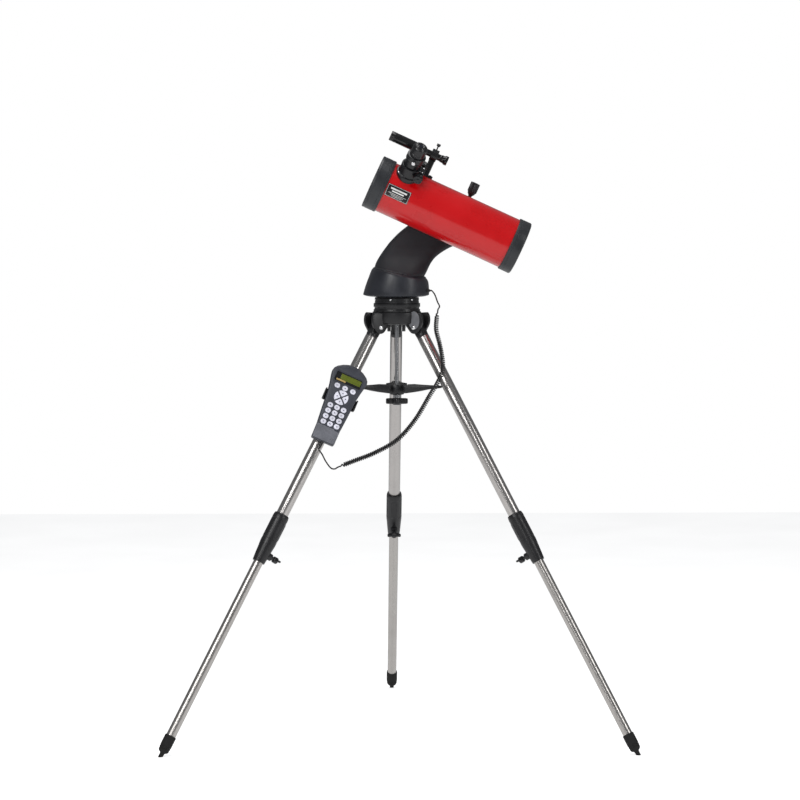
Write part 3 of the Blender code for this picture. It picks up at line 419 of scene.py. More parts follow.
FINISH = {
    "casting": moulded("black_casting", (0.008, 0.008, 0.0095), 0.34, 900.0, 0.18, 0.6, (0.12, 0.12, 0.13)),
    "plastic": moulded("black_plastic", (0.010, 0.010, 0.0115), 0.36, 1500.0, 0.14, 0.4),
    "arm": moulded("arm_plastic", (0.019, 0.0205, 0.025), 0.58, 2200.0, 0.10, 0.5, (0.10, 0.11, 0.13), 0.35),
    "charcoal": moulded("charcoal_plastic", (0.019, 0.021, 0.028), 0.36, 2200.0, 0.10, 0.5, (0.12, 0.13, 0.15)),
    "ring": moulded("ring_plastic", (0.024, 0.026, 0.030), 0.36, 1600.0, 0.12, 0.5, (0.15, 0.16, 0.18)),
    "flat_black": moulded("flat_black", (0.008, 0.008, 0.008), 0.85, 2600.0, 0.3, 0.1, (0.03, 0.03, 0.03), 0.2),
    "case": moulded("handset_case", (0.046, 0.050, 0.065), 0.42, 2000.0, 0.16, 0.5, (0.20, 0.21, 0.25)),
    "case_cover": moulded("handset_cover", (0.160, 0.165, 0.190), 0.46, 2000.0, 0.16, 0.4, (0.26, 0.27, 0.30)),
    "key": moulded("silicone_key", (0.80, 0.80, 0.90), 0.55, 1400.0, 0.05, 0.0, (0.7, 0.7, 0.8), 0.3),
    "key_mark": moulded("key_mark", (0.05, 0.05, 0.10), 0.60, 1400.0, 0.03, 0.0, (0.1, 0.1, 0.1), 0.3),
    "gold": moulded("gold_strip", (0.62, 0.44, 0.16), 0.35, 1200.0, 0.05, 0.1, (0.7, 0.6, 0.3)),
    "plate": moulded("name_plate", (0.012, 0.012, 0.013), 0.25, 900.0, 0.03, 0.1),
    "plate_white": moulded("plate_white", (0.80, 0.80, 0.78), 0.40, 900.0, 0.03, 0.0, (0.8, 0.8, 0.8)),
    "gloss_casting": moulded("gloss_casting", (0.010, 0.010, 0.0115), 0.24, 900.0, 0.06, 0.5, (0.10, 0.10, 0.11)),
    "gloss": moulded("finder_enamel", (0.010, 0.010, 0.011), 0.16, 900.0, 0.04, 0.3, (0.10, 0.10, 0.10)),
    # Light grey for the oval on the right leg's ear only: a painted highlight standing for the light that ear catches.
    "ear_highlight": moulded("painted_highlight_grey", (0.155, 0.158, 0.170), 0.45, 1800.0, 0.12, 0.3, (0.25, 0.25, 0.27)),
    "dark_glass": moulded("lens_glass", (0.010, 0.012, 0.022), 0.05, 400.0, 0.01, 0.0),
    "cord": moulded("cord_jacket", (0.012, 0.012, 0.013), 0.42, 2400.0, 0.08, 0.0, (0.03, 0.03, 0.03)),
    "rubber": moulded("foot_rubber", (0.012, 0.012, 0.012), 0.70, 700.0, 0.30, 0.3, (0.06, 0.06, 0.06), 0.3),
    "steel": drawn_metal("polished_steel", (0.52, 0.50, 0.485), 0.20, 0.30),
    "steel_low": drawn_metal("satin_steel", (0.50, 0.48, 0.46), 0.24, 0.36),
    "chrome": plated_metal("bright_chrome", (0.84, 0.84, 0.85), 0.10),
    "enamel": red_enamel(),
    "mirror": mirror_coating(),
    "screen": liquid_crystal(),
}

# ------------------------------------------------------------------ modelling helpers


def only(piece):
    """Leaves one piece selected and active."""
    bpy.ops.object.select_all(action="DESELECT")
    piece.select_set(True)
    bpy.context.view_layer.objects.active = piece


def begin(name):
    """A new mesh in edit mode, holding one vertex at the origin."""
    bpy.ops.object.select_all(action="DESELECT")
    bpy.ops.mesh.primitive_plane_add(size=0.01, location=(0, 0, 0))
    piece = bpy.context.object
    piece.name = name
    piece.data.name = name
    bpy.ops.object.mode_set(mode="EDIT")
    bpy.ops.mesh.select_all(action="SELECT")
    bpy.ops.mesh.merge(type="CENTER")
    return piece


def trace(points):
    """Draws a line of edges from the selected vertex at the origin."""
    bpy.ops.transform.translate(value=Vector(points[0]))
    for start, end in zip(points, points[1:]):
        step = Vector(end) - Vector(start)
        bpy.ops.mesh.extrude_region_move(TRANSFORM_OT_translate={"value": step})


def close_up(threshold=1e-6):
    bpy.ops.mesh.select_all(action="SELECT")
    bpy.ops.mesh.remove_doubles(threshold=threshold)
    bpy.ops.mesh.normals_make_consistent(inside=False)
    bpy.ops.object.mode_set(mode="OBJECT")


def wrap_map(piece):
    """Unrolls a turned piece: across in metres of arc, along in metres of height."""
    layer = piece.data.uv_layers.new(name="wrap")
    for face in piece.data.polygons:
        angles = []
        for loop in face.loop_indices:
            point = piece.data.vertices[piece.data.loops[loop].vertex_index].co
            angles.append(math.atan2(point.y, point.x))
        across_seam = max(angles) - min(angles) > math.pi
        for loop, angle in zip(face.loop_indices, angles):
            point = piece.data.vertices[piece.data.loops[loop].vertex_index].co
            angle += 2 * math.pi if across_seam and angle < 0 else 0
            layer.data[loop].uv = (angle * math.hypot(point.x, point.y), point.z)


def lathe(name, profile, steps=72, closed=True):
    """Turns a profile of (radius, height) round +Z."""
    piece = begin(name)
    points = [(radius, 0, height) for radius, height in profile]
    if closed and profile[0][0] > 1e-6:
        points.append(points[0])
    trace(points)
    bpy.ops.mesh.select_all(action="SELECT")
    bpy.ops.mesh.spin(steps=steps, angle=2 * math.pi, center=(0, 0, 0), axis=(0, 0, 1))
    close_up()
    wrap_map(piece)
    return piece


def slab(name, outline, low, high):
    """Raises a flat outline of (x, y) from low to high along +Z."""
    piece = begin(name)
    trace([(x, y, low) for x, y in outline])
    bpy.ops.mesh.select_all(action="SELECT")
    bpy.ops.mesh.edge_face_add()
    bpy.ops.mesh.extrude_region_move(TRANSFORM_OT_translate={"value": (0, 0, high - low)})
    close_up()
    return piece


def place(piece, matrix):
    """Carries a finished shape to its place and leaves the object itself at the origin."""
    piece.matrix_world = matrix
    only(piece)
    bpy.ops.object.transform_apply(location=True, rotation=True, scale=True)
    return piece


def apply_modifier(piece, kind, **settings):
    only(piece)
    modifier = piece.modifiers.new(kind.lower(), kind)
    for name, value in settings.items():
        setattr(modifier, name, value)
    bpy.ops.object.modifier_apply(modifier=modifier.name)
    return piece


def soften(piece, width, segments=2, angle=35):
    """Rounds the sharp edges."""
    return apply_modifier(
        piece, "BEVEL", width=width, segments=segments, limit_method="ANGLE",
        angle_limit=math.radians(angle), use_clamp_overlap=True, harden_normals=False,
    )


def cut(piece, tool):
    apply_modifier(piece, "BOOLEAN", operation="DIFFERENCE", solver="EXACT", object=tool)
    bpy.data.objects.remove(tool)
    return piece


def weld(piece, tool):
    apply_modifier(piece, "BOOLEAN", operation="UNION", solver="EXACT", object=tool)
    bpy.data.objects.remove(tool)
    return piece


def smooth(piece, angle=35):
    only(piece)
    bpy.ops.object.shade_smooth_by_angle(angle=math.radians(angle))


def put(piece, finish, body, stands_for=(), angle=35):
    """Shades a placed piece, gives it its finish and hangs it on its body."""
    smooth(piece, angle)
    piece.data.materials.clear()
    piece.data.materials.append(FINISH[finish])
    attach(piece, body)
    if stands_for:
        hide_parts(*stands_for)
    return piece


def arc(centre, radius, start, end, steps):
    points = []
    for i in range(steps + 1):
        a = math.radians(start + (end - start) * i / steps)
        points.append((centre[0] + radius * math.cos(a), centre[1] + radius * math.sin(a)))
    return points


def rounded(width, height, corner, steps=5):
    """The outline of a rectangle with round corners."""
    points = []
    for sx, sy, start in ((1, 1, 0), (-1, 1, 90), (-1, -1, 180), (1, -1, 270)):
        centre = (sx * (width / 2 - corner), sy * (height / 2 - corner))
        points += arc(centre, corner, start, start + 90, steps)
    return points


def tube_tool(radius, low, high, steps=96):
    """A round cutter on the optical tube's axis."""
    return place(lathe("tube_tool", [(0, low), (radius, low), (radius, high), (0, high)], steps), TUBE)


def bar_tool(radius, low, high, matrix, steps=32):
    return place(lathe("bar_tool", [(0, low), (radius, low), (radius, high), (0, high)], steps), matrix)

# ------------------------------------------------------------------ floor and soft light


def soft_box(name, stand, target, width, height, power):
    data = bpy.data.lights.new(name, "AREA")
    data.shape = "RECTANGLE"
    data.size = width
    data.size_y = height
    data.energy = power
    lamp = bpy.data.objects.new(name, data)
    bpy.context.scene.collection.objects.link(lamp)
    lamp.location = stand
    lamp.rotation_euler = (Vector(target) - Vector(stand)).to_track_quat("-Z", "Y").to_euler()


def make_studio():
    bpy.ops.object.select_all(action="DESELECT")
    bpy.ops.mesh.primitive_plane_add(size=10, location=(0, 0, 0))
    floor = bpy.context.object
    floor.name = "floor"
    bpy.ops.object.mode_set(mode="EDIT")
    bpy.ops.mesh.select_all(action="SELECT")
    bpy.ops.mesh.subdivide(number_cuts=4)
    bpy.ops.object.mode_set(mode="OBJECT")
    floor.data.materials.append(studio_floor())

    middle = (0, -0.2, 1.1)
    soft_box("key_light", (-2.4, -3.6, 3.4), middle, 1.4, 2.4, 70)
    soft_box("side_light", (3.0, -2.6, 2.2), middle, 0.7, 3.0, 34)
    soft_box("top_light", (0.2, -0.2, 4.2), middle, 3.0, 1.4, 46)
    soft_box("strip_light", (-1.1, -4.6, 2.3), middle, 0.16, 2.6, 16)
    world = bpy.data.worlds.new("studio")
    bpy.context.scene.world = world
    world.use_nodes = True
    nodes = Nodes(world.node_tree)
    room = world.node_tree.nodes["Background"]
    room.inputs["Color"].default_value = (0.95, 0.97, 1, 1)
    room.inputs["Strength"].default_value = 0.20
    paper = nodes.add("ShaderNodeBackground", {"Color": (1, 1, 1, 1), "Strength": 1.0})
    seen = nodes.add("ShaderNodeLightPath").outputs["Is Camera Ray"]
    both = nodes.add("ShaderNodeMixShader", {0: seen, 1: room.outputs[0], 2: paper.outputs[0]})
    nodes.join(both.outputs[0], world.node_tree.nodes["World Output"].inputs["Surface"])
    bpy.context.scene.view_settings.view_transform = "Standard"


make_studio()

# ------------------------------------------------------------------ cord

# Points from the azimuth axis at floor level, the same as the cord's solids in the frame
DRUM_EXIT = ((0.0869, -0.0316, 1.1740), (0.9397, -0.3420, 0.0))
LEAD_TOP_ROUTE = ((0.0985, -0.0400, 1.1640), (0.1050, -0.0550, 1.1460), (0.1100, -0.0670, 1.1340))
LEAD_TO_CURL = (0.1050, -0.0750, 1.1225)
CURL_TOP_ROUTE = (
    (0.1005, -0.0890, 1.0780), (0.1080, -0.0970, 1.0440), (0.1140, -0.1010, 1.0150), (0.1175, -0.1060, 0.9900),
)
CURL_SPLIT = (0.1160, -0.1130, 0.9660)
CURL_LOW_ROUTE = (
    (0.1020, -0.1250, 0.9360), (0.0832, -0.1350, 0.9073), (0.0438, -0.1500, 0.8435),
    (-0.0031, -0.1600, 0.7924), (-0.0602, -0.1660, 0.7600), (-0.1121, -0.1690, 0.7400),
)
CURL_TO_LEAD = (-0.1540, -0.1700, 0.7240)
LEAD_LOW_ROUTE = (
    (-0.1640, -0.1700, 0.7185), (-0.1750, -0.1690, 0.7210), (-0.1880, -0.1660, 0.7380), (-0.1975, -0.1620, 0.7560),
)
HANDSET_EXIT = ((-0.2044, -0.1577, 0.7712), (-0.3877, -0.2551, -0.8858))
CORD_R = 0.0019
HELIX_R = 0.0046
HELIX_PITCH = 0.0052
TURN_POINTS = 14
RAMP = 0.018


def rounded_route(points, spacing):
    """Evenly spaced points on one smooth curve through the given ones."""
    ends = [points[0] * 2 - points[1]] + points + [points[-1] * 2 - points[-2]]
    fine = []
    for a, b, c, d in zip(ends, ends[1:], ends[2:], ends[3:]):
        for i in range(60):
            t = i / 60
            bend = (2 * a - 5 * b + 4 * c - d) * t**2 + (3 * b - a - 3 * c + d) * t**3
            fine.append(0.5 * (2 * b + (c - a) * t + bend))
    fine.append(points[-1])
    spaced = [fine[0]]
    walked = 0.0
    for p, q in zip(fine, fine[1:]):
        step = (q - p).length
        while walked + step >= spacing:
            share = (spacing - walked) / step
            p = p.lerp(q, share)
            spaced.append(p)
            step = (q - p).length
            walked = 0.0
        walked += step
    if (spaced[-1] - fine[-1]).length < spacing / 2:
        spaced.pop()
    return spaced + [fine[-1]]


def curled(line, from_index, to_index):
    """Winds the line into a helix between two of its points, which widens and tightens over RAMP."""
    spacing = HELIX_PITCH / TURN_POINTS
    side = (line[1] - line[0]).orthogonal().normalized()
    wound = []
    turn = 0.0
    for i, point in enumerate(line):
        ahead = (line[min(i + 1, len(line) - 1)] - line[max(i - 1, 0)]).normalized()
        side = (side - ahead * side.dot(ahead)).normalized()
        inside = min(i - from_index, to_index - i) * spacing
        grown = min(max(inside / RAMP, 0.0), 1.0)
        radius = HELIX_R * grown * grown * (3 - 2 * grown)
        if from_index <= i <= to_index:
            turn += 2 * math.pi / TURN_POINTS * grown
        wound.append(point + radius * (side * math.cos(turn) + ahead.cross(side) * math.sin(turn)))
    return wound


def nearest(line, point):
    return min(range(len(line)), key=lambda i: (line[i] - point).length)


def cord_line():
    """The centreline of the whole cord and the index at which its upper part ends."""
    start, out = Vector(DRUM_EXIT[0]), Vector(DRUM_EXIT[1])
    end, away = Vector(HANDSET_EXIT[0]), Vector(HANDSET_EXIT[1])
    marks = [start, start + out * 0.004]
    for point in (*LEAD_TOP_ROUTE, LEAD_TO_CURL, *CURL_TOP_ROUTE, CURL_SPLIT, *CURL_LOW_ROUTE, CURL_TO_LEAD):
        marks.append(Vector(point))
    marks += [Vector(point) for point in LEAD_LOW_ROUTE]
    marks += [end + away * 0.004, end]
    line = rounded_route([HEAD @ mark for mark in marks], HELIX_PITCH / TURN_POINTS)
    first = nearest(line, HEAD @ Vector(LEAD_TO_CURL))
    last = nearest(line, HEAD @ Vector(CURL_TO_LEAD))
    split = nearest(line, HEAD @ Vector(CURL_SPLIT))
    return curled(line, first, last), split, (first, last)


def thinned(line, coil):
    """Every point inside the coil, and one in four on the straight leads."""
    kept = []
    for i, point in line:
        if coil[0] <= i <= coil[1] or i % 4 == 0 or i in (line[0][0], line[-1][0]):
            kept.append(point)
    return kept


def cord_tube(name, points):
    """A round jacket along the points, made a mesh."""
    curve = bpy.data.curves.new(name, "CURVE")
    curve.dimensions = "3D"
    curve.bevel_depth = CORD_R
    curve.bevel_resolution = 2
    curve.use_fill_caps = True
    spline = curve.splines.new("POLY")
    spline.points.add(len(points) - 1)
    for target, point in zip(spline.points, points):
        target.co = (*point, 1)
    cord = bpy.data.objects.new(name, curve)
    bpy.context.scene.collection.objects.link(cord)
    only(cord)
    bpy.ops.object.convert(target="MESH")
    cord.data.materials.clear()
    cord.data.materials.append(FINISH["cord"])
    bpy.ops.object.shade_smooth()
    return cord


def make_cord():
    line, split, coil = cord_line()
    numbered = list(enumerate(line))
    upper = thinned(numbered[: split + 1], coil)
    lower = thinned(numbered[split:], coil)
    top = cord_tube("cord_upper", upper)
    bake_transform(top)
    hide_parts("lead_top", "curl_top")
    low = cord_tube("cord_lower", lower)
    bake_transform(low)
    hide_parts("curl_low", "lead_low")


make_cord()

# ------------------------------------------------------------------ optical tube


def turned_piece(name, profile, finish, body, matrix, stands_for=(), steps=72, edge=0.0, angle=35):
    """A turned piece, its sharp edges rounded when an edge width is given, in place and finished."""
    piece = lathe(name, profile, steps)
    if edge:
        soften(piece, edge)
    place(piece, matrix)
    return put(piece, finish, body, stands_for, angle)


def band(name, low, high, start, end, inner, outer, steps=14):
    """A shallow strip bent round +Z, between two heights and two angles in degrees."""
    piece = begin(name)
    trace([(inner, 0, low), (outer, 0, low), (outer, 0, high), (inner, 0, high)])
    bpy.ops.mesh.select_all(action="SELECT")
    bpy.ops.mesh.edge_face_add()
    bpy.ops.transform.rotate(
        value=math.radians(-end), orient_axis="Z", center_override=(0, 0, 0)
    )
    bpy.ops.mesh.select_all(action="SELECT")
    bpy.ops.mesh.spin(steps=steps, angle=math.radians(end - start), center=(0, 0, 0), axis=(0, 0, 1))
    close_up()
    return piece


def joined(name, parts):
    """Joins loose parts of one moulding into one piece."""
    bpy.ops.object.select_all(action="DESELECT")
    for part in parts:
        part.select_set(True)
    bpy.context.view_layer.objects.active = parts[0]
    bpy.ops.object.join()
    piece = bpy.context.object
    piece.name = name
    piece.data.name = name
    return piece


def copied(piece, name, matrix=None):
    """A copy with its own mesh, moved on from where the first one lies."""
    twin = piece.copy()
    twin.data = piece.data.copy()
    twin.name = name
    bpy.context.scene.collection.objects.link(twin)
    return place(twin, matrix) if matrix else twin


def make_tube():
    wall = TUBE_R - TUBE_WALL
    low = TUBE_REAR + REAR_CELL - 0.020
    high = TUBE_FRONT - FRONT_RING + 0.020
    tube = lathe("tube_skin", [(wall, low), (TUBE_R, low), (TUBE_R, high), (wall, high)], 128)
    place(tube, TUBE)
    cut(tube, bar_tool(0.0245, 0.050, 0.090, FOCUS, 48))
    put(tube, "enamel", "telescope", ["main_tube"])
    inner, outer = wall - 0.0006, wall - 0.0002
    lining = lathe("tube_lining", [(inner, low), (outer, low), (outer, high), (inner, high)], 96)
    place(lining, TUBE)
    cut(lining, bar_tool(0.0245, 0.050, 0.090, FOCUS, 48))
    put(lining, "flat_black", "telescope")


def make_front_ring():
    start = TUBE_FRONT - FRONT_RING
    inner = TUBE_R + 0.0003
    outer = RING_R
    profile = [(inner, start), (outer - 0.0012, start), (outer - 0.0003, start + 0.0006), (outer, start + 0.0018)]
    profile += [(outer, start + 0.0080), (outer - 0.0007, start + 0.0085), (outer - 0.0007, start + 0.0098)]
    profile += [(outer, start + 0.0103), (outer, TUBE_FRONT - 0.0075), (outer - 0.0006, TUBE_FRONT - 0.0070)]
    profile += [(outer - 0.0006, TUBE_FRONT - 0.0058), (outer, TUBE_FRONT - 0.0053), (outer, TUBE_FRONT - 0.0022)]
    profile += [(outer - 0.0006, TUBE_FRONT - 0.0007), (outer - 0.0020, TUBE_FRONT)]
    profile += [(0.0638, TUBE_FRONT), (0.0632, TUBE_FRONT - 0.0006), (0.0630, TUBE_FRONT - 0.0014)]
    profile += [(0.0630, TUBE_FRONT - 0.0167), (inner, TUBE_FRONT - 0.0167)]
    turned_piece("front_ring_moulding", profile, "ring", "telescope", TUBE, ["front_ring"], 128)


def make_rear_cell():
    end = TUBE_REAR + REAR_CELL
    inner = TUBE_R + 0.0003
    low = end - 0.020 - 0.0003
    profile = [(0, TUBE_REAR + 0.0016), (0.020, TUBE_REAR + 0.0016), (0.0212, TUBE_REAR + 0.0004)]
    profile += [(0.0440, TUBE_REAR + 0.0004), (0.0450, TUBE_REAR + 0.0016), (0.0560, TUBE_REAR + 0.0016)]
    profile += [(0.0572, TUBE_REAR), (RING_R - 0.0042, TUBE_REAR), (RING_R - 0.0018, TUBE_REAR + 0.0008)]
    profile += [(RING_R - 0.0005, TUBE_REAR + 0.0022), (RING_R, TUBE_REAR + 0.0042), (RING_R, end - 0.0100)]
    profile += [(RING_R - 0.0006, end - 0.0095), (RING_R - 0.0006, end - 0.0083), (RING_R, end - 0.0078)]
    profile += [(RING_R, end - 0.0018), (RING_R - 0.0003, end - 0.0006), (RING_R - 0.0012, end)]
    profile += [(inner, end), (inner, low), (0.0600, low), (0.0600, TUBE_REAR + 0.004), (0, TUBE_REAR + 0.004)]
    turned_piece("rear_cell_moulding", profile, "ring", "telescope", TUBE, ["rear_cell"], 128)
    head = [(0, 0), (0.0020, 0), (0.0020, -0.0004), (0.0036, -0.0004), (0.0038, -0.0002), (0.0038, 0.0010)]
    head += [(0.0030, 0.0016), (0, 0.0016)]
    screw = lathe("collimating_screw", head, 24, closed=False)
    for i in range(6):
        turn = TUBE @ spun(60 * i + 30) @ moved(0.0505, 0, TUBE_REAR + 0.0006)
        twin = copied(screw, f"collimating_screw_{i}", turn)
        put(twin, "chrome" if i % 2 else "plastic", "telescope")
    bpy.data.objects.remove(screw)


def make_mirrors():
    face = TUBE_REAR + 0.0180
    radius = 0.0570
    glass = [(0, TUBE_REAR + 0.0045), (radius - 0.0006, TUBE_REAR + 0.0045), (radius, TUBE_REAR + 0.0051)]
    glass += [(radius, face - 0.0008), (radius - 0.0008, face)]
    for i in range(10):
        r = (radius - 0.0008) * (1 - (i + 1) / 10)
        glass.append((r, face - 0.0014 * (1 - (r / radius) ** 2)))
    turned_piece("primary_glass", glass, "mirror", "telescope", TUBE, ["primary_mirror"], 96)

    hub = [(0, 0.0062), (0.0108, 0.0062), (0.0120, 0.0074), (0.0120, 0.0200), (0.0110, 0.0212)]
    hub += [(0.0110, 0.0240), (0.0120, 0.0252), (0.0120, 0.0286), (0.0106, 0.0300), (0, 0.0300)]
    spider = place(lathe("spider_casting", hub, 48), moved(0, 0, FOCUS_AT))
    for i in range(4):
        vane = slab("vane", rounded(0.0560, 0.0014, 0.0005, 2), FOCUS_AT + 0.0100, FOCUS_AT + 0.0220)
        weld(spider, place(vane, spun(45 + 90 * i - FOCUS_TURN) @ moved(0.0375, 0, 0)))
    place(spider, TUBE)
    put(spider, "flat_black", "telescope", ["spider"])


def make_name_plate():
    """A black plate with a white rim and plain white bars, on the user's side behind the front ring."""
    skin = TUBE_R + 0.0002
    middle = -92.5
    plate = band("plate_back", 0.1465, 0.2105, middle - 14, middle + 14, skin, skin + 0.0005, 20)
    place(plate, TUBE)
    put(plate, "plate", "telescope")
    low, high = skin + 0.0004, skin + 0.0008
    strips = [
        (0.1478, 0.1485, -13, 13), (0.2085, 0.2092, -13, 13), (0.1478, 0.2092, -13.0, -12.4),
        (0.1478, 0.2092, 12.4, 13.0), (0.1560, 0.2010, 4.4, 8.0), (0.1620, 0.1950, -0.6, 2.2),
        (0.1540, 0.2030, -4.4, -3.6), (0.1600, 0.1970, -7.2, -6.5), (0.1640, 0.1930, -9.8, -9.1),
    ]
    bars = []
    for i, (start, end, first, last) in enumerate(strips):
        steps = max(2, round((last - first) / 2))
        bars.append(band(f"plate_bar_{i}", start, end, middle + first, middle + last, low, high, steps))
    marks = place(joined("plate_marks", bars), TUBE)
    put(marks, "plate_white", "telescope")


make_tube()
make_front_ring()
make_rear_cell()
make_mirrors()
make_name_plate()

# ------------------------------------------------------------------ focuser, eyepiece and finder


def lobed(radius, depth, lobes, steps):
    """A round outline that swells and sinks evenly."""
    points = []
    for i in range(steps):
        a = 2 * math.pi * i / steps
        r = radius + depth * math.cos(lobes * a)
        points.append((r * math.cos(a), r * math.sin(a)))
    return points


def fluted_knob(name, radius, low, high, flutes, depth=0.0005, edge=0.0008):
    """A round grip with flutes down its side and rounded rims."""
    piece = slab(name, lobed(radius - depth, depth, flutes, flutes * 6), low, high)
    return soften(piece, edge, 3, 60)


def screw_head(name, radius, height):
    """A pan head with a cross recess, its seat at the origin."""
    pan = [(0, 0), (radius, 0), (radius, height * 0.45), (radius * 0.88, height * 0.8), (radius * 0.55, height)]
    head = lathe(name, [*pan, (0, height)], 28, closed=False)
    for turn in (0, 90):
        slot = slab("cross_slot", rounded(radius * 1.1, radius * 0.22, radius * 0.05, 1), height * 0.45, height * 2)
        cut(head, place(slot, spun(turn)))
    return head


def make_focuser():
    base = [(0.0240, 0.0500), (0.0315, 0.0500), (0.0322, 0.0560), (0.0325, 0.0690), (0.0320, 0.0712)]
    base += [(0.0312, 0.0724), (0.0288, 0.0730), (0.0274, 0.0750), (0.0270, 0.0800), (0.0270, 0.0925)]
    base += [(0.0276, 0.0931), (0.0276, 0.0975), (0.0268, 0.0988), (0.0256, 0.0990), (0.0240, 0.0990)]
    body = place(lathe("focuser_casting", base, 96), FOCUS)
    block = slab("rack_housing", rounded(0.0200, 0.0300, 0.0030, 4), 0.0745, 0.0972)
    soften(block, 0.0008, 2)
    weld(body, place(block, FOCUS @ moved(0.0275, 0, 0)))
    cut(body, bar_tool(0.0233, 0.04, 0.12, FOCUS, 64))
    cut(body, tube_tool(TUBE_R + 0.0003, -0.1, 0.3, 128))
    pinion = FOCUS @ moved(0.0275, 0, 0.0885) @ spun(90, "X")
    cut(body, bar_tool(0.0036, -0.03, 0.03, pinion))
    cut(body, bar_tool(0.0048, -0.0070, 0.0070, pinion))
    put(body, "gloss_casting", "telescope", ["focuser_body"])

    screw = screw_head("focuser_screw", 0.0026, 0.0020)
    for i, angle in enumerate((35, 145, 215, 325)):
        across, along = 0.0296 * math.sin(math.radians(angle)), 0.0296 * math.cos(math.radians(angle))
        lift = 0.0724
        put(copied(screw, f"focuser_screw_{i}", FOCUS @ moved(along, across, lift)), "chrome", "telescope")
    for i, (x, y) in enumerate(((0.0240, 0.0095), (0.0240, -0.0095), (0.0320, 0.0095), (0.0320, -0.0095))):
        small = place(copied(screw, f"rack_screw_{i}"), Matrix.Scale(0.80, 4))
        put(place(small, FOCUS @ moved(x, y, 0.0972)), "chrome", "telescope")
    bpy.data.objects.remove(screw)

    shaft = [(0, -0.0395), (0.0032, -0.0395), (0.0032, -0.0065), (0.0043, -0.0060), (0.0043, 0.0060)]
    shaft += [(0.0032, 0.0065), (0.0032, 0.0395), (0, 0.0395)]
    knobs = lathe("focus_shaft", shaft, 32, closed=False)
    for side in (-1, 1):
        grip = fluted_knob("focus_grip", 0.0120, 0.0245, 0.0385, 22)
        hollow = lathe("grip_face", [(0, 0.0372), (0.0072, 0.0372), (0.0086, 0.0390), (0, 0.0390)], 32, closed=False)
        cut(grip, hollow)
        skirt = [(0, 0.0225), (0.0078, 0.0225), (0.0092, 0.0232), (0.0096, 0.0246), (0, 0.0246)]
        weld(grip, lathe("grip_skirt", skirt, 32, closed=False))
        place(grip, spun(0 if side > 0 else 180, "X"))
        weld(knobs, grip)
    put(place(knobs, pinion), "gloss_casting", "focus_knobs", ["focus_knobs"])

    draw = [(0.0206, 0.0560), (0.0226, 0.0560), (0.0229, 0.0566), (0.0229, 0.1172), (0.0236, 0.1180)]
    draw += [(0.0246, 0.1184), (0.0250, 0.1192), (0.0250, 0.1222), (0.0244, 0.1228), (0.0244, 0.1290)]
    draw += [(0.0250, 0.1296), (0.0250, 0.1322), (0.0246, 0.1336), (0.0232, 0.1345), (0.0170, 0.1345)]
    draw += [(0.0162, 0.1338), (0.0162, 0.1240), (0.0206, 0.1240)]
    tube = place(lathe("drawtube_turned", draw, 96), FOCUS)
    screw_at = FOCUS @ moved(0, -0.0255, 0.1270) @ pointing((0, -1, 0))
    cut(tube, bar_tool(0.0022, -0.012, 0.006, screw_at))
    put(tube, "gloss_casting", "drawtube", ["drawtube"])

    thumb = fluted_knob("thumb_screw", 0.0050, 0.0022, 0.0090, 14, 0.0003, 0.0004)
    weld(thumb, lathe("thumb_stem", [(0, -0.0085), (0.0018, -0.0085), (0.0018, 0.0010), (0.0034, 0.0014),
                                     (0.0040, 0.0024), (0, 0.0024)], 24, closed=False))
    put(copied(thumb, "eyepiece_thumb_screw", screw_at), "chrome", "eyepiece_screw", ["eyepiece_screw"])

    lens = [(0, 0.1100), (0.0150, 0.1100), (0.0156, 0.1106), (0.0156, 0.1348), (0.0196, 0.1350), (0.0204, 0.1358)]
    lens += [(0.0205, 0.1420), (0.0199, 0.1428), (0.0205, 0.1436), (0.0205, 0.1496), (0.0203, 0.1530)]
    lens += arc((0.0085, 0.1548), 0.0117, 0, 68, 7)
    lens += [(0.0110, 0.1668), (0.0095, 0.1676), (0.0086, 0.1660), (0.0060, 0.1650), (0, 0.1648)]
    turned_piece("eyepiece_barrel", lens, "gloss_casting", "drawtube", FOCUS, ["eyepiece"], 96)
    glass = [(0, 0.1652), (0.0040, 0.1656), (0.0062, 0.1653), (0.0062, 0.1646), (0, 0.1646)]
    turned_piece("eyepiece_lens", glass, "dark_glass", "drawtube", FOCUS, (), 48)
    return thumb


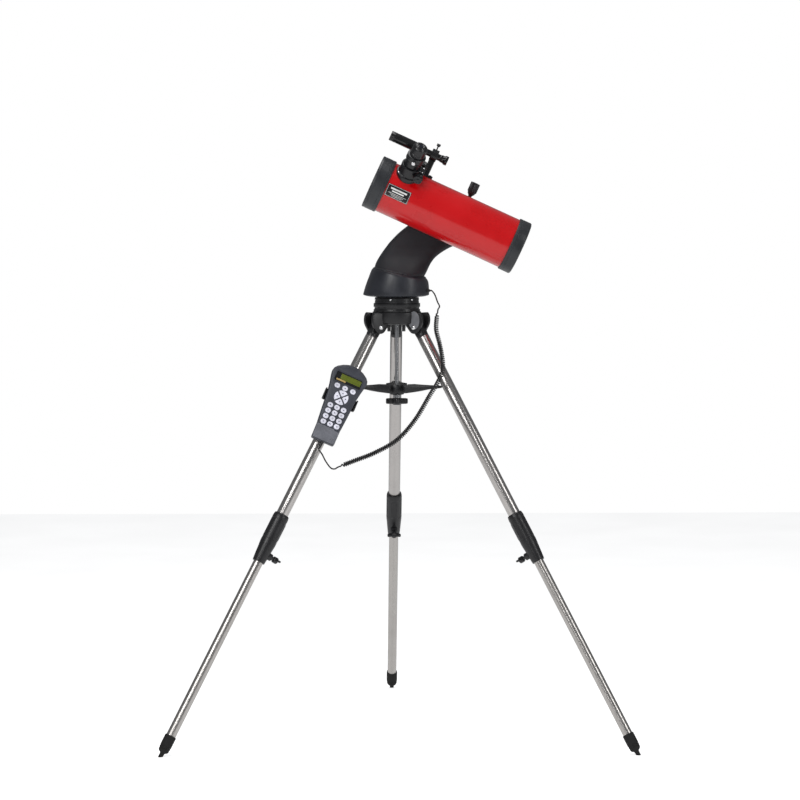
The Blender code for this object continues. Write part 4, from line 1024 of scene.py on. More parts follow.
def make_finder(thumb):
    axis = TUBE @ moved(FINDER_HEIGHT, 0.0100, FINDER_AT)
    tube = [(0, -0.0655), (0.0078, -0.0655), (0.0090, -0.0668), (0.0114, -0.0680), (0.0122, -0.0672)]
    tube += [(0.0125, -0.0640), (0.0122, -0.0600), (0.0106, -0.0580), (0.0098, -0.0560), (0.0098, -0.0500)]
    tube += [(0.0092, -0.0494), (0.0086, -0.0485), (0.0085, -0.0440), (0.0085, 0.0180), (0.0090, 0.0196)]
    tube += [(0.0126, 0.0254), (0.0130, 0.0270), (0.0130, 0.0760), (0.0126, 0.0765), (0.0126, 0.0776)]
    tube += [(0.0130, 0.0781), (0.0130, 0.0938), (0.0127, 0.0948), (0.0119, 0.0950), (0.0113, 0.0944)]
    tube += [(0.0112, 0.0850), (0.0080, 0.0862), (0, 0.0868)]
    turned_piece("finder_barrel", tube, "gloss", "telescope", axis, ["finder"], 72)
    lens = [(0, 0.0886), (0.0060, 0.0882), (0.0110, 0.0872), (0.0110, 0.0866), (0, 0.0866)]
    turned_piece("finder_lens", lens, "dark_glass", "telescope", axis, (), 48)

    ring_at = axis @ moved(0, 0, FINDER_RING_AT)
    ring = [(0.0088, -0.0084), (0.0094, -0.0090), (0.0154, -0.0090), (0.0160, -0.0084), (0.0160, -0.0030)]
    ring += [(0.0154, -0.0026), (0.0154, 0.0026), (0.0160, 0.0030), (0.0160, 0.0084), (0.0154, 0.0090)]
    ring += [(0.0094, 0.0090), (0.0088, 0.0084)]
    bracket = place(lathe("finder_holder", ring, 64), ring_at)
    across = spun(90, "Y")
    stalk = slab("finder_stalk", rounded(0.0160, 0.0110, 0.0030, 4), -FINDER_HEIGHT, -0.0130)
    weld(bracket, place(soften(stalk, 0.0006, 2), ring_at @ across))
    shoe = slab("finder_shoe", rounded(0.0400, 0.0260, 0.0040, 4), -FINDER_HEIGHT + 0.055, -FINDER_HEIGHT + 0.0745)
    weld(bracket, place(soften(shoe, 0.0012, 3), ring_at @ across))
    cut(bracket, tube_tool(TUBE_R + 0.0003, -0.1, 0.3, 128))
    cut(bracket, bar_tool(0.0086, -0.03, 0.03, ring_at, 48))
    upward = ring_at @ moved(0.0163, 0, 0) @ across
    cut(bracket, bar_tool(0.0022, -0.012, 0.006, upward))
    put(bracket, "gloss_casting", "telescope", ["finder_bracket"])
    head = screw_head("shoe_screw", 0.0030, 0.0018)
    for i, z in enumerate((-0.0135, 0.0135)):
        seat = ring_at @ moved(-FINDER_HEIGHT + 0.0745, 0, z) @ across
        put(copied(head, f"shoe_screw_{i}", seat), "chrome", "telescope")
    bpy.data.objects.remove(head)

    put(place(thumb, upward @ moved(0, 0, 0.0070)), "plastic", "finder_screw", ["finder_screw"])
    stem = [(0, -0.0072), (0.0018, -0.0072), (0.0018, 0.0095), (0, 0.0095)]
    turned_piece("finder_screw_stem", stem, "plastic", "finder_screw", upward, (), 20)


make_finder(make_focuser())

# ------------------------------------------------------------------ cradle between the arm and the tube


def make_cradle():
    to_arm = TUBE @ pointing((0, 1, 0))
    flange = [(0, 0.0862), (0.0420, 0.0862), (0.0452, 0.0868), (0.0474, 0.0880), (0.0480, 0.0896)]
    flange += [(0.0480, 0.0972), (0.0474, 0.0982), (0.0460, 0.0985), (0.0180, 0.0985), (0.0180, 0.1240), (0, 0.1240)]
    turned_piece("turning_flange", flange, "charcoal", "saddle", to_arm, ["altitude_flange"], 96)

    section = [(-0.0290, 0.0857), (-0.0290, 0.0740), (-0.0225, 0.0740), (-0.0225, 0.0805)]
    section += [(0.0225, 0.0805), (0.0225, 0.0740), (0.0290, 0.0740), (0.0290, 0.0857)]
    saddle = soften(slab("saddle_clamp", section, -0.0350, 0.0350), 0.0010, 3)
    boss = [(0, -0.0050), (0.0056, -0.0050), (0.0056, 0.0072), (0.0050, 0.0079), (0, 0.0080)]
    weld(saddle, place(lathe("saddle_boss", boss, 32), moved(0.0330, 0.0800, 0) @ spun(90, "Y")))
    put(place(saddle, TUBE), "casting", "saddle", ["saddle"])

    bar = [(-0.0205, 0.0802), (-0.0165, 0.0712), (0.0165, 0.0712), (0.0205, 0.0802)]
    rail = soften(slab("dovetail_rail", bar, -0.0900, 0.0900), 0.0006, 2)
    foot = [(-0.0120, 0.0715), (-0.0120, 0.0600), (0.0120, 0.0600), (0.0120, 0.0715)]
    weld(rail, slab("dovetail_foot", foot, -0.075, 0.075))
    place(rail, TUBE)
    cut(rail, tube_tool(TUBE_R + 0.0003, -0.2, 0.2, 128))
    put(rail, "casting", "telescope", ["dovetail_bar"])

    grip = fluted_knob("saddle_grip", 0.0126, 0.0395, 0.0660, 12, 0.0008, 0.0016)
    stem = [(0, 0), (0.0048, 0), (0.0048, 0.0290), (0.0066, 0.0318), (0.0098, 0.0352), (0.0106, 0.0398), (0, 0.0398)]
    weld(grip, lathe("saddle_stem", stem, 40))
    cap = [(0, 0.0664), (0.0070, 0.0664), (0.0078, 0.0656), (0.0078, 0.0640), (0, 0.0640)]
    weld(grip, lathe("saddle_cap", cap, 40))
    knob_at = TUBE @ moved(0.0413, 0.0800, 0) @ spun(90, "Y")
    put(place(grip, knob_at), "plastic", "saddle_knob", ["saddle_knob"])


make_cradle()

# ------------------------------------------------------------------ arm, drum and neck


def superellipse(left, right, front, back, power, height, slope=0.0, steps=56):
    """A squared-off oval, level or sloping down towards +X."""
    points = []
    for i in range(steps):
        a = 2 * math.pi * i / steps
        c, s = math.cos(a), math.sin(a)
        x = (left + right) / 2 + math.copysign(abs(c) ** (2 / power), c) * (right - left) / 2
        y = (front + back) / 2 + math.copysign(abs(s) ** (2 / power), s) * (back - front) / 2
        points.append((x, y, height - slope * x))
    return points


def ring_edges(name, ring):
    loop = begin(name)
    trace([*ring, ring[0]])
    bpy.ops.mesh.select_all(action="SELECT")
    bpy.ops.mesh.remove_doubles(threshold=1e-6)
    bpy.ops.object.mode_set(mode="OBJECT")
    return loop


def loft(name, rings):
    """Draws each ring, bridges it to the one before and closes both ends."""
    piece = ring_edges(name, rings[0])
    for ring in rings[1:]:
        piece = joined(name, [piece, ring_edges(name, ring)])
        count = len(piece.data.vertices)
        for vertex in piece.data.vertices:
            vertex.select = vertex.index >= count - 2 * len(ring)
        for edge in piece.data.edges:
            edge.select = all(piece.data.vertices[v].select for v in edge.vertices)
        bpy.ops.object.mode_set(mode="EDIT")
        bpy.ops.mesh.bridge_edge_loops()
        bpy.ops.mesh.select_all(action="DESELECT")
        bpy.ops.object.mode_set(mode="OBJECT")
    only(piece)
    bpy.ops.object.mode_set(mode="EDIT")
    bpy.ops.mesh.select_all(action="DESELECT")
    bpy.ops.mesh.select_non_manifold(extend=False)
    bpy.ops.mesh.fill_holes(sides=0)
    close_up()
    return piece


def finer(slices, steps):
    """More slices on smooth curves through the given ones."""
    ends = [slices[0], *slices, slices[-1]]
    made = []
    for a, b, c, d in zip(ends, ends[1:], ends[2:], ends[3:]):
        for i in range(steps):
            t = i / steps
            between = []
            for p, q, r, s in zip(a, b, c, d):
                bend = (2 * p - 5 * q + 4 * r - s) * t**2 + (3 * q - p - 3 * r + s) * t**3
                between.append(0.5 * (2 * q + (r - p) * t + bend))
            made.append(between)
    return [*made, slices[-1]]


ARM_SLICES = (
    (-0.0560, 0.0640, -0.0600, 0.0640, 2.1, 1.2000), (-0.0640, 0.0740, -0.0660, 0.0775, 2.3, 1.2140),
    (-0.0600, 0.0815, -0.0440, 0.0775, 2.6, 1.2280), (-0.0550, 0.0900, -0.0200, 0.0775, 3.0, 1.2440),
    (-0.0460, 0.1030, 0.0010, 0.0775, 3.5, 1.2600), (-0.0350, 0.1250, 0.0130, 0.0775, 4.0, 1.2760),
    (-0.0260, 0.1480, 0.0190, 0.0770, 4.5, 1.2880), (-0.0200, 0.1750, 0.0215, 0.0765, 5.0, 1.2960),
    (-0.0110, 0.1980, 0.0235, 0.0760, 5.0, 1.3060), (0.0070, 0.2150, 0.0240, 0.0755, 5.0, 1.3240),
    (0.0320, 0.2230, 0.0240, 0.0750, 5.0, 1.3440), (0.0600, 0.2240, 0.0240, 0.0745, 5.0, 1.3640),
    (0.0880, 0.2190, 0.0245, 0.0740, 5.0, 1.3840), (0.1160, 0.2060, 0.0255, 0.0730, 4.5, 1.4020),
    (0.1380, 0.1900, 0.0280, 0.0710, 4.0, 1.4130), (0.1480, 0.1790, 0.0310, 0.0680, 3.2, 1.4170),
    (0.1560, 0.1710, 0.0370, 0.0620, 2.6, 1.4185),
)
DRUM_SLICES = (
    (-0.0760, 0.0740, -0.0750, 0.0750, 2.0, 1.1585, 0.0), (-0.0860, 0.0830, -0.0835, 0.0835, 2.0, 1.1610, 0.0),
    (-0.0885, 0.0850, -0.0858, 0.0858, 2.0, 1.1650, 0.0), (-0.0820, 0.0845, -0.0858, 0.0855, 2.0, 1.1850, 0.03),
    (-0.0735, 0.0830, -0.0845, 0.0845, 2.0, 1.2030, 0.10), (-0.0680, 0.0815, -0.0825, 0.0830, 2.05, 1.2130, 0.17),
    (-0.0655, 0.0800, -0.0805, 0.0815, 2.1, 1.2170, 0.19), (-0.0635, 0.0780, -0.0770, 0.0785, 2.1, 1.2193, 0.19),
    (-0.0610, 0.0745, -0.0725, 0.0745, 2.1, 1.2200, 0.19), (-0.0400, 0.0450, -0.0450, 0.0450, 2.1, 1.2190, 0.19),
)


def make_arm():
    arm = place(loft("arm_casting", [superellipse(*ring) for ring in finer(ARM_SLICES, 3)]), HEAD)
    bearing = HEAD @ moved(0.1630, 0.0500, 1.3575) @ pointing((0, -1, 0))
    cut(arm, bar_tool(0.0186, 0, 0.06, bearing, 48))
    put(arm, "arm", "mount", ["arm"], 50)

    drum = place(loft("drum_casting", [superellipse(*ring, 72) for ring in finer(DRUM_SLICES, 2)]), HEAD)
    plug_at = HEAD @ pointing(DRUM_EXIT[1], DRUM_EXIT[0])
    cut(drum, bar_tool(0.0054, -0.0170, 0.02, plug_at))
    put(drum, "charcoal", "mount", ["drum_housing"], 40)
    lip = loft("arm_lip", [
        superellipse(-0.0615, 0.0762, -0.0640, 0.0760, 2.2, 1.2195, 0.19, 72),
        superellipse(-0.0622, 0.0770, -0.0652, 0.0768, 2.2, 1.2206, 0.19, 72),
        superellipse(-0.0615, 0.0766, -0.0640, 0.0762, 2.2, 1.2222, 0.19, 72),
        superellipse(-0.0590, 0.0745, -0.0590, 0.0740, 2.2, 1.2236, 0.19, 72),
    ])
    put(place(lip, HEAD), "charcoal", "mount", (), 50)

    switch = soften(slab("power_bezel", rounded(0.0240, 0.0140, 0.0030, 4), -0.0020, 0.0012), 0.0006, 2)
    back = HEAD @ moved(0.030, 0.0795, 1.1830) @ pointing((0.35, 0.94, 0))
    put(place(switch, back), "plastic", "mount")


def make_neck():
    r = NECK_R
    low = 1.1180
    profile = [(0, low), (r - 0.0004, low), (r, low + 0.0006), (r, 1.1234), (r - 0.0004, 1.1240), (r - 0.0022, 1.1244)]
    profile += [(r - 0.0024, 1.1250), (r - 0.0024, 1.1292), (r - 0.0020, 1.1298), (r - 0.0004, 1.1302), (r, 1.1308)]
    profile += [(r, 1.1392), (r - 0.0005, 1.1399), (r - 0.0026, 1.1406), (r - 0.0032, 1.1414), (r - 0.0032, 1.1460)]
    profile += [(r - 0.0040, 1.1464), (r - 0.0040, 1.1474), (r - 0.0032, 1.1478), (r - 0.0032, 1.1540)]
    profile += [(r - 0.0040, 1.1550), (0.0300, 1.1550), (0.0300, 1.1578), (0, 1.1578)]
    turned_piece("neck_casting", profile, "casting", "tripod", HEAD, ["azimuth_neck"], 96)
    head = screw_head("neck_screw", 0.0030, 0.0016)
    for i in range(6):
        seat = HEAD @ spun(60 * i + 12) @ moved(r - 0.0033, 0, 1.1510) @ spun(90, "Y")
        put(copied(head, f"neck_screw_{i}", seat), "chrome", "tripod")
    bpy.data.objects.remove(head)


make_arm()
make_neck()

# ------------------------------------------------------------------ hub and legs

LEG_ANGLES = {"left": 210, "right": 330, "back": 90}
PIVOT_RADIUS = 0.0635
PIVOT_Z = 1.078


def make_hub():
    disc = [(0, 1.0860), (0.0540, 1.0860), (0.0580, 1.0866), (0.0612, 1.0885), (0.0628, 1.0915)]
    disc += [(0.0640, 1.1100), (0.0640, 1.1168), (0.0631, 1.1177), (0, 1.1177)]
    hub = place(lathe("hub_casting", disc, 96), HEAD)
    for angle in LEG_ANGLES.values():
        pivot = HEAD @ moved(0, 0, PIVOT_Z) @ spun(angle)
        outline = [(0.0400, 0.0360), (0.0400, 0.0040)] + arc((PIVOT_RADIUS, 0), 0.0165, 215, 345, 12)
        outline += [(0.0835, 0.0020), (0.0868, 0.0100), (0.0878, 0.0190), (0.0868, 0.0290), (0.0835, 0.0365)]
        outline += [(0.0800, 0.0392)]
        for inner in (-0.024, 0.015):
            ear = soften(slab("hub_ear", outline, inner, inner + 0.009), 0.0012, 3, 50)
            weld(hub, place(ear, pivot @ spun(90, "X")))
        cut(hub, bar_tool(0.0042, -0.03, 0.03, pivot @ moved(PIVOT_RADIUS, 0, 0) @ spun(90, "X")))
        slot = slab("leg_slot", rounded(0.064, 0.030, 0.0005, 1), -0.020, 0.0255)
        cut(hub, place(slot, pivot @ moved(0.074, 0, 0)))
    cut(hub, bar_tool(0.0054, 1.07, 1.1017, HEAD))
    put(hub, "casting", "tripod", ["hub"])

    # A light grey oval on the right leg's ear only, the other ears left black: painted highlight where that ear catches
    # the light.
    oval = [(0.0165 * math.cos(2 * math.pi * i / 48), 0.0235 * math.sin(2 * math.pi * i / 48)) for i in range(48)]
    ear_highlight = soften(slab("painted_highlight_oval", oval, 0.0232, 0.0262), 0.0008, 3)
    pivot = HEAD @ moved(0, 0, PIVOT_Z) @ spun(LEG_ANGLES["right"])
    put(place(ear_highlight, pivot @ moved(PIVOT_RADIUS + 0.001, 0, 0.0190) @ spun(90, "X")), "ear_highlight", "tripod")


def make_leg(side):
    leg = LEGS[side]
    body, lower_body = f"leg_{side}", f"lower_leg_{side}"
    across = spun(90, "X")
    bolt = [(0, -0.0292), (0.0024, -0.0292), (0.0044, -0.0284), (0.0057, -0.0270), (0.0062, -0.0252), (0.0062, -0.0243)]
    bolt += [(0.0039, -0.0243), (0.0039, 0.0243), (0.0062, 0.0243), (0.0062, 0.0252), (0.0057, 0.0270)]
    bolt += [(0.0044, 0.0284), (0.0024, 0.0292), (0, 0.0292)]
    turned_piece(f"pivot_pin_{side}", bolt, "chrome", "tripod", leg @ across, [f"pivot_bolt_{side}"], 40)

    collar = [(0, -0.0520), (0.0130, -0.0520), (0.0137, -0.0512), (0.0137, -0.0297), (0.0152, -0.0297)]
    collar += [(0.0155, -0.0290), (0.0155, -0.0215), (0.0149, -0.0200), (0.0135, -0.0195), (0, -0.0195)]
    fitting = lathe(f"leg_socket_{side}", collar, 56)
    outline = [(-0.0110, -0.0240), (0.0110, -0.0240), (0.0130, 0.004)] + arc((0, 0.004), 0.0130, 0, 180, 14)[1:]
    block = soften(slab("leg_tongue", outline, -0.0138, 0.0138), 0.0010, 3, 50)
    weld(fitting, place(block, spun(90, "X")))
    cut(fitting, bar_tool(0.0042, -0.03, 0.03, across))
    put(place(fitting, leg), "plastic", body, [f"leg_top_{side}"])

    tube = [(0.0140, -0.6400), (0.0156, -0.6400), (UPPER_R, -0.6394), (UPPER_R, -0.0306), (0.0156, -0.0300)]
    tube += [(0.0140, -0.0300)]
    turned_piece(f"leg_tube_{side}", tube, "steel", body, leg, [f"upper_tube_{side}"], 64)

    slim = LOWER_R + 0.0003
    sleeve = [(UPPER_R + 0.0003, -0.5560), (UPPER_R + 0.0003, -0.6403), (slim, -0.6403), (slim, -0.6940)]
    sleeve += [(0.0158, -0.6940), (0.0164, -0.6934), (0.0170, -0.6880), (0.0185, -0.6700), (0.0196, -0.6540)]
    sleeve += [(0.0206, -0.6440), (0.0210, -0.6380), (0.0210, -0.6300), (0.0204, -0.6294), (0.0204, -0.6276)]
    sleeve += [(0.0210, -0.6270), (0.0210, -0.5740), (0.0204, -0.5734), (0.0204, -0.5716), (0.0210, -0.5710)]
    sleeve += [(0.0210, -0.5660), (0.0206, -0.5620), (0.0196, -0.5572), (0.0188, -0.5560)]
    clamp = lathe(f"leg_sleeve_{side}", sleeve, 72)
    boss = soften(lathe("sleeve_boss", [(0, 0), (0.0096, 0), (0.0094, 0.0130), (0, 0.0130)], 40), 0.0008)
    inward = moved(-0.0150, 0, -0.668) @ pointing((-1, 0, 0))
    weld(clamp, place(boss, inward))
    for i in range(4):
        rib = soften(slab("sleeve_rib", rounded(0.0030, 0.0440, 0.0014, 3), 0.0195, 0.0217), 0.0004)
        turned = spun(45 * (i - 1.5) + 180) @ moved(0, 0, -0.600) @ spun(90, "Y")
        weld(clamp, place(rib, turned @ spun(90)))
    cut(clamp, bar_tool(slim, -0.72, -0.62, Matrix.Identity(4), 64))
    put(place(clamp, leg), "plastic", body, [f"clamp_{side}"])

    knob = lathe(f"lock_screw_{side}", [(0, 0), (0.0048, 0), (0.0048, 0.0056), (0.0070, 0.0070), (0.0084, 0.0084),
                                        (0.0086, 0.0180), (0.0078, 0.0194), (0.0060, 0.0200), (0, 0.0200)], 40)
    wing = [(-0.0170, 0.0120), (-0.0110, 0.0100), (-0.0060, 0.0090), (0.0060, 0.0090), (0.0110, 0.0100)]
    wing += [(0.0170, 0.0120), (0.0184, 0.0150), (0.0186, 0.0190), (0.0176, 0.0218), (0.0150, 0.0222)]
    wing += [(0.0080, 0.0212), (-0.0080, 0.0212), (-0.0150, 0.0222), (-0.0176, 0.0218), (-0.0186, 0.0190)]
    wing += [(-0.0184, 0.0150)]
    wings = soften(slab("lock_wings", wing, -0.0024, 0.0024), 0.0010, 3, 50)
    weld(knob, place(wings, spun(90) @ spun(90, "X")))
    knob_at = leg @ moved(-0.0283, 0, -0.668) @ pointing((-1, 0, 0))
    put(place(knob, knob_at), "plastic", f"lock_knob_{side}", [f"lock_knob_{side}"])

    foot_start = LEG_LENGTH - 0.060
    lower = [(0.0113, -foot_start - 0.030), (LOWER_R, -foot_start - 0.030), (LOWER_R, -0.5056), (0.0122, -0.5050)]
    lower += [(0.0113, -0.5050)]
    turned_piece(f"inner_tube_{side}", lower, "steel_low", lower_body, leg, [f"lower_tube_{side}"], 56)

    end = LEG_LENGTH
    top = foot_start + 0.0303
    shoe = [(0, -end - 0.004), (0.0055, -end - 0.004), (0.0060, -end + 0.0100), (0.0072, -end + 0.0120)]
    shoe += [(0.0118, -end + 0.0150), (0.0136, -end + 0.0180), (0.0141, -end + 0.0215), (0.0134, -end + 0.0222)]
    shoe += [(0.0134, -end + 0.0234), (0.0144, -end + 0.0241), (0.0148, -end + 0.0275), (0.0140, -end + 0.0282)]
    shoe += [(0.0140, -end + 0.0294), (0.0150, -end + 0.0301), (0.0150, -foot_start - 0.0016)]
    shoe += [(0.0144, -foot_start - 0.0003), (0.0138, -foot_start), (slim, -foot_start), (slim, -top), (0, -top)]
    foot = place(lathe(f"rubber_foot_{side}", shoe, 48), leg)
    cut(foot, slab("floor_cut", [(-2, -2), (2, -2), (2, 2), (-2, 2)], -0.1, 0.0))
    put(foot, "rubber", lower_body, [f"foot_{side}"])


make_hub()
for side in LEG_ANGLES:
    make_leg(side)

# ------------------------------------------------------------------ tray and its knob


def make_tray():
    rod = [(0, 0.8700), (0.0044, 0.8700), (0.0050, 0.8706), (0.0050, 0.8893), (0.0094, 0.8893), (0.0100, 0.8899)]
    rod += [(0.0100, 0.8974), (0.0094, 0.8980), (0.0050, 0.8980), (0.0050, 1.1006), (0.0046, 1.1010), (0, 1.1010)]
    turned_piece("tray_rod", rod, "chrome", "tripod", HEAD, ["centre_rod"], 40)

    low = TRAY_TOP - 0.027
    hub = [(0.0053, low), (0.0172, low), (0.0180, low + 0.0006), (0.0216, low + 0.0040), (0.0220, low + 0.0050)]
    hub += [(0.0220, TRAY_TOP - 0.0012), (0.0212, TRAY_TOP), (0.0140, TRAY_TOP), (0.0134, TRAY_TOP - 0.0014)]
    hub += [(0.0100, TRAY_TOP - 0.0014), (0.0094, TRAY_TOP), (0.0053, TRAY_TOP)]
    centre = place(lathe("tray_centre", hub, 72), HEAD)
    for angle in LEG_ANGLES.values():
        lug = soften(slab("tray_lug", rounded(0.024, 0.012, 0.002, 3), TRAY_TOP - 0.018, TRAY_TOP - 0.002), 0.0006)
        weld(centre, place(lug, HEAD @ spun(angle) @ moved(0.028, 0, 0)))
    put(centre, "plastic", "tripod", ["tray_hub"])

    tip = 0.095
    side_view = [(-0.0100, 0), (-0.0100, -0.0130), (0.0040, -0.0215), (0.0300, -0.0170), (0.0540, -0.0115)]
    side_view += [(tip, -0.0060), (tip, 0)]
    plan = [(-0.0085, -0.0130), (0.0020, -0.0280), (0.0120, -0.0235), (0.0260, -0.0180), (0.0590, -0.0115)]
    plan += [(tip - 0.003, -0.0095), (tip, -0.0070), (tip, 0.0070), (tip - 0.003, 0.0095), (0.0590, 0.0115)]
    plan += [(0.0260, 0.0180), (0.0120, 0.0235), (0.0020, 0.0280), (-0.0085, 0.0130)]
    inner = [(0.0130, -0.0150), (0.0260, -0.0130), (0.0590, -0.0075), (tip - 0.008, -0.0052)]
    inner += [(tip - 0.008, 0.0052), (0.0590, 0.0075), (0.0260, 0.0130), (0.0130, 0.0150)]
    wing = place(slab("tray_wing", side_view, -0.0300, 0.0300), spun(90, "X"))
    trimmer = slab("wing_plan", plan, -0.05, 0.05)
    apply_modifier(wing, "BOOLEAN", operation="INTERSECT", solver="EXACT", object=trimmer)
    bpy.data.objects.remove(trimmer)
    cut(wing, place(slab("wing_slot", rounded(0.0360, 0.0135, 0.002, 3), -0.03, 0.03), moved(-0.0095, 0, 0)))
    cut(wing, slab("wing_dish", inner, -0.0022, 0.01))
    soften(wing, 0.0007, 2, 30)
    for side, angle in LEG_ANGLES.items():
        seat = HEAD @ spun(angle) @ moved(0.0360, 0, TRAY_TOP)
        twin = copied(wing, f"tray_wing_{side}", seat)
        put(twin, "plastic", f"tray_arm_{side}", [f"tray_arm_{side}"])
    bpy.data.objects.remove(wing)

    knob = soften(slab("tray_nut", lobed(0.0225, 0.0065, 4, 96), -0.0150, -0.0003), 0.0030, 4, 60)
    nut = [(0, -0.0175), (0.0095, -0.0175), (0.0110, -0.0168), (0.0114, -0.0150), (0, -0.0150)]
    weld(knob, lathe("nut_hub", nut, 40))
    cut(knob, bar_tool(0.0053, -0.02, 0.01, Matrix.Identity(4)))
    put(place(knob, HEAD @ moved(0, 0, 0.8890)), "plastic", "tray_knob", ["tray_knob"])


make_tray()

# ------------------------------------------------------------------ handset and its holder

HANDSET_HALF = (
    (0.0000, 0.1080), (0.0150, 0.1062), (0.0290, 0.1005), (0.0410, 0.0925), (0.0470, 0.0850), (0.0487, 0.0780),
    (0.0475, 0.0680), (0.0430, 0.0480), (0.0392, 0.0250), (0.0360, -0.0200), (0.0335, -0.0500), (0.0320, -0.0650),
    (0.0317, -0.0850), (0.0315, -0.1035), (0.0303, -0.1062), (0.0275, -0.1070), (0.0000, -0.1070),
)


def handset_ring(shrink, height):
    """The handset's outline, pulled in evenly, at a height above the leg's axis."""
    points = []
    for x, y in HANDSET_HALF:
        points.append((max(x - shrink, 0.0), y - shrink * y / 0.107, height))
    left = [(-x, y, z) for x, y, z in reversed(points) if x > 0]
    return points + left


WINDOW_Y = 0.0675


def make_handset():
    front, back = HANDSET_FRONT, HANDSET_BACK
    levels = ((0.0042, back), (0.0016, back + 0.0008), (0.0004, back + 0.0026), (0.0, back + 0.0050))
    levels += ((0.0, front - 0.0130), (0.0009, front - 0.0125), (0.0009, front - 0.0117), (0.0, front - 0.0112))
    levels += ((0.0, front - 0.0052), (0.0005, front - 0.0030), (0.0018, front - 0.0010), (0.0042, front))
    case = loft("handset_case", [handset_ring(*level) for level in levels])
    window = soften(slab("window", rounded(0.0720, 0.0250, 0.0035, 4), front - 0.0040, front + 0.01), 0.0004)
    cut(case, place(window, moved(0, WINDOW_Y, 0)))
    socket = pointing((0, -1, 0), (0, -0.107, back + 0.0130))
    cut(case, bar_tool(0.0054, -0.02, 0.02, socket))
    put(place(case, HANDSET), "case", "leg_left", ["handset_shell"], 40)

    brow = [(-0.0340, 0.0822), (0.0340, 0.0822), (0.0372, 0.0850), (0.0340, 0.0895), (0.0240, 0.0955)]
    brow += [(0.0120, 0.0990), (-0.0120, 0.0990), (-0.0240, 0.0955), (-0.0340, 0.0895), (-0.0372, 0.0850)]
    hood = soften(slab("handset_hood", brow, front - 0.0010, front + 0.0010), 0.0009, 3, 40)
    put(place(hood, HANDSET), "case", "leg_left")

    pane = soften(slab("display_pane", rounded(0.0560, 0.0150, 0.0008, 3), front - 0.0036, front - 0.0014), 0.0004)
    layer = pane.data.uv_layers.new(name="face")
    for loop in pane.data.loops:
        point = pane.data.vertices[loop.vertex_index].co
        layer.data[loop.index].uv = (point.x, point.y)
    put(place(pane, HANDSET @ moved(0.0060, WINDOW_Y + 0.0025, 0)), "screen", "leg_left", ["handset_screen"])
    frame_outline = rounded(0.0712, 0.0242, 0.0032, 4)
    bezel = slab("display_bezel", frame_outline, front - 0.0039, front - 0.0026)
    put(place(bezel, HANDSET @ moved(0, WINDOW_Y, 0)), "plate", "leg_left")
    strip = soften(slab("display_strip", rounded(0.0260, 0.0042, 0.0010, 3), front - 0.0028, front - 0.0016), 0.0003)
    put(place(strip, HANDSET @ moved(-0.0180, WINDOW_Y - 0.0075, 0)), "gold", "leg_left")

    cover = [(-0.0300, -0.1045), (0.0300, -0.1045), (0.0305, -0.1000), (0.0310, -0.0700), (0.0180, -0.0700)]
    cover += [(0.0160, -0.0670), (-0.0312, -0.0670), (-0.0312, -0.0740), (-0.0305, -0.1000)]
    lid = soften(slab("handset_cover", cover, front - 0.0010, front + 0.0009), 0.0007, 3, 30)
    put(place(lid, HANDSET), "case_cover", "leg_left")
    for y in (-0.0960, -0.0935, -0.0910):
        rib = soften(slab("cover_rib", rounded(0.0120, 0.0011, 0.0005, 2), front + 0.0005, front + 0.0014), 0.0003)
        put(place(rib, HANDSET @ moved(0.0215, y, 0)), "case_cover", "leg_left")


def round_key(name, width, height):
    """A soft key with a crowned top, standing on the keypad's web."""
    outline = rounded(width, height, min(width, height) * 0.46, 6)
    return soften(slab(name, outline, HANDSET_FRONT - 0.0015, HANDSET_FRONT + 0.0016), 0.0009, 4, 50)


def wedge_key(name):
    """One quarter of the round pad: an arc with its point cut off."""
    outline = arc((0, 0), 0.0190, 51, 129, 10)
    outline += [(-0.0012, 0.0034), (0.0012, 0.0034)]
    key = slab(name, outline, HANDSET_FRONT - 0.0015, HANDSET_FRONT + 0.0016)
    return soften(key, 0.0008, 4, 30)


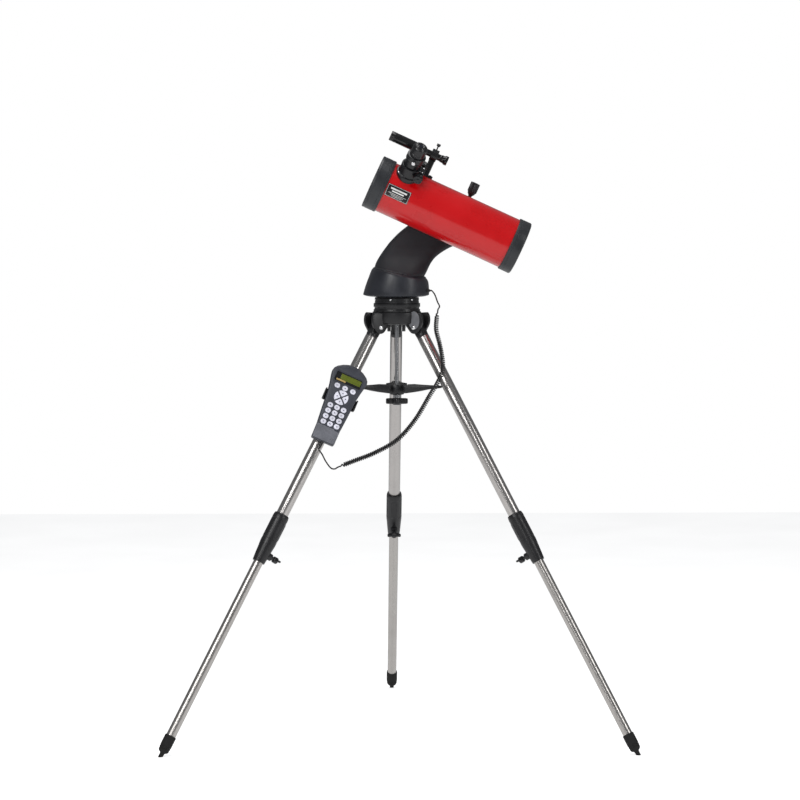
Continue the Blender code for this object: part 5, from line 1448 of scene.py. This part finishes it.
def make_keypad():
    web = slab("keypad_web", rounded(0.0600, 0.1140, 0.006, 5), HANDSET_FRONT - 0.0021, HANDSET_FRONT - 0.0013)
    put(place(web, HANDSET @ moved(0, -0.0070, 0)), "case", "keypad", ["keypad"])
    key = round_key("key", 0.0148, 0.0128)
    mark = slab("key_mark", rounded(0.0036, 0.0022, 0.0006, 2), HANDSET_FRONT + 0.0015, HANDSET_FRONT + 0.00175)
    mark_ring = lathe("mark_ring", [(0.0014, 0.0), (0.0020, 0.0), (0.0020, 0.00025), (0.0014, 0.00025)], 24)
    place(mark_ring, moved(0, 0, HANDSET_FRONT + 0.0015))
    spots = [(x, 0.0438) for x in (-0.0220, 0.0, 0.0220)]
    for row in range(4):
        spots += [(x, -0.0108 - 0.0157 * row) for x in (-0.0188, 0.0, 0.0188)]
    for i, (x, y) in enumerate(spots):
        seat = HANDSET @ moved(x, y, 0)
        put(copied(key, f"key_{i:02d}", seat), "key", "keypad", (), 50)
        sign = mark if i % 2 else mark_ring
        put(copied(sign, f"key_sign_{i:02d}", seat @ spun(20 * (i % 3 - 1))), "key_mark", "keypad")
    wedge = wedge_key("wedge")
    for i, turn in enumerate((0, 90, 180, 270)):
        seat = HANDSET @ moved(0, 0.0175, 0) @ spun(turn)
        put(copied(wedge, f"wedge_key_{i}", seat), "key", "keypad", (), 50)
        arrow = slab("arrow", [(-0.0022, 0.0105), (0.0022, 0.0105), (0, 0.0140)],
                     HANDSET_FRONT + 0.0015, HANDSET_FRONT + 0.00175)
        arrow.name = f"arrow_{i}"
        put(place(arrow, seat), "key_mark", "keypad")
    for part in (key, mark, mark_ring, wedge):
        bpy.data.objects.remove(part)


def make_holder():
    block = soften(slab("handset_clip", rounded(0.0470, 0.0340, 0.0040, 4), -0.0210, HANDSET_BACK - 0.0003), 0.0010, 3)
    back_plate = slab("clip_plate", rounded(0.0900, 0.0300, 0.0030, 4), 0.0170, HANDSET_BACK - 0.0003)
    weld(block, soften(back_plate, 0.0008, 2))
    for side in (-1, 1):
        jaw = slab("clip_jaw", rounded(0.0040, 0.0300, 0.0012, 3), HANDSET_BACK - 0.002, HANDSET_BACK + 0.0150)
        weld(block, place(soften(jaw, 0.0006, 2), moved(side * 0.0435, 0, 0)))
    place(block, HANDSET @ moved(0, 0.0150, 0))
    cut(block, bar_tool(UPPER_R + 0.0003, -0.7, 0.1, LEGS["left"], 64))
    gap = slab("clip_gap", [(-0.05, -0.0130), (0.0, -0.0130), (0.0, 0.0130), (-0.05, 0.0130)], -0.30, -0.15)
    cut(block, place(gap, LEGS["left"]))
    put(block, "plastic", "leg_left", ["handset_holder"])


make_handset()
make_keypad()
make_holder()

# ------------------------------------------------------------------ finishes of the frame's own nodes

# Every other node of the frame is replaced by the pieces above
FRAME_NODE_FINISH = {"drum_plug": "plastic", "handset_plug": "plastic", "secondary_mirror": "mirror"}
for name, finish in FRAME_NODE_FINISH.items():
    materials = frame["nodes"][name].data.materials
    materials.clear()
    materials.append(FINISH[finish])
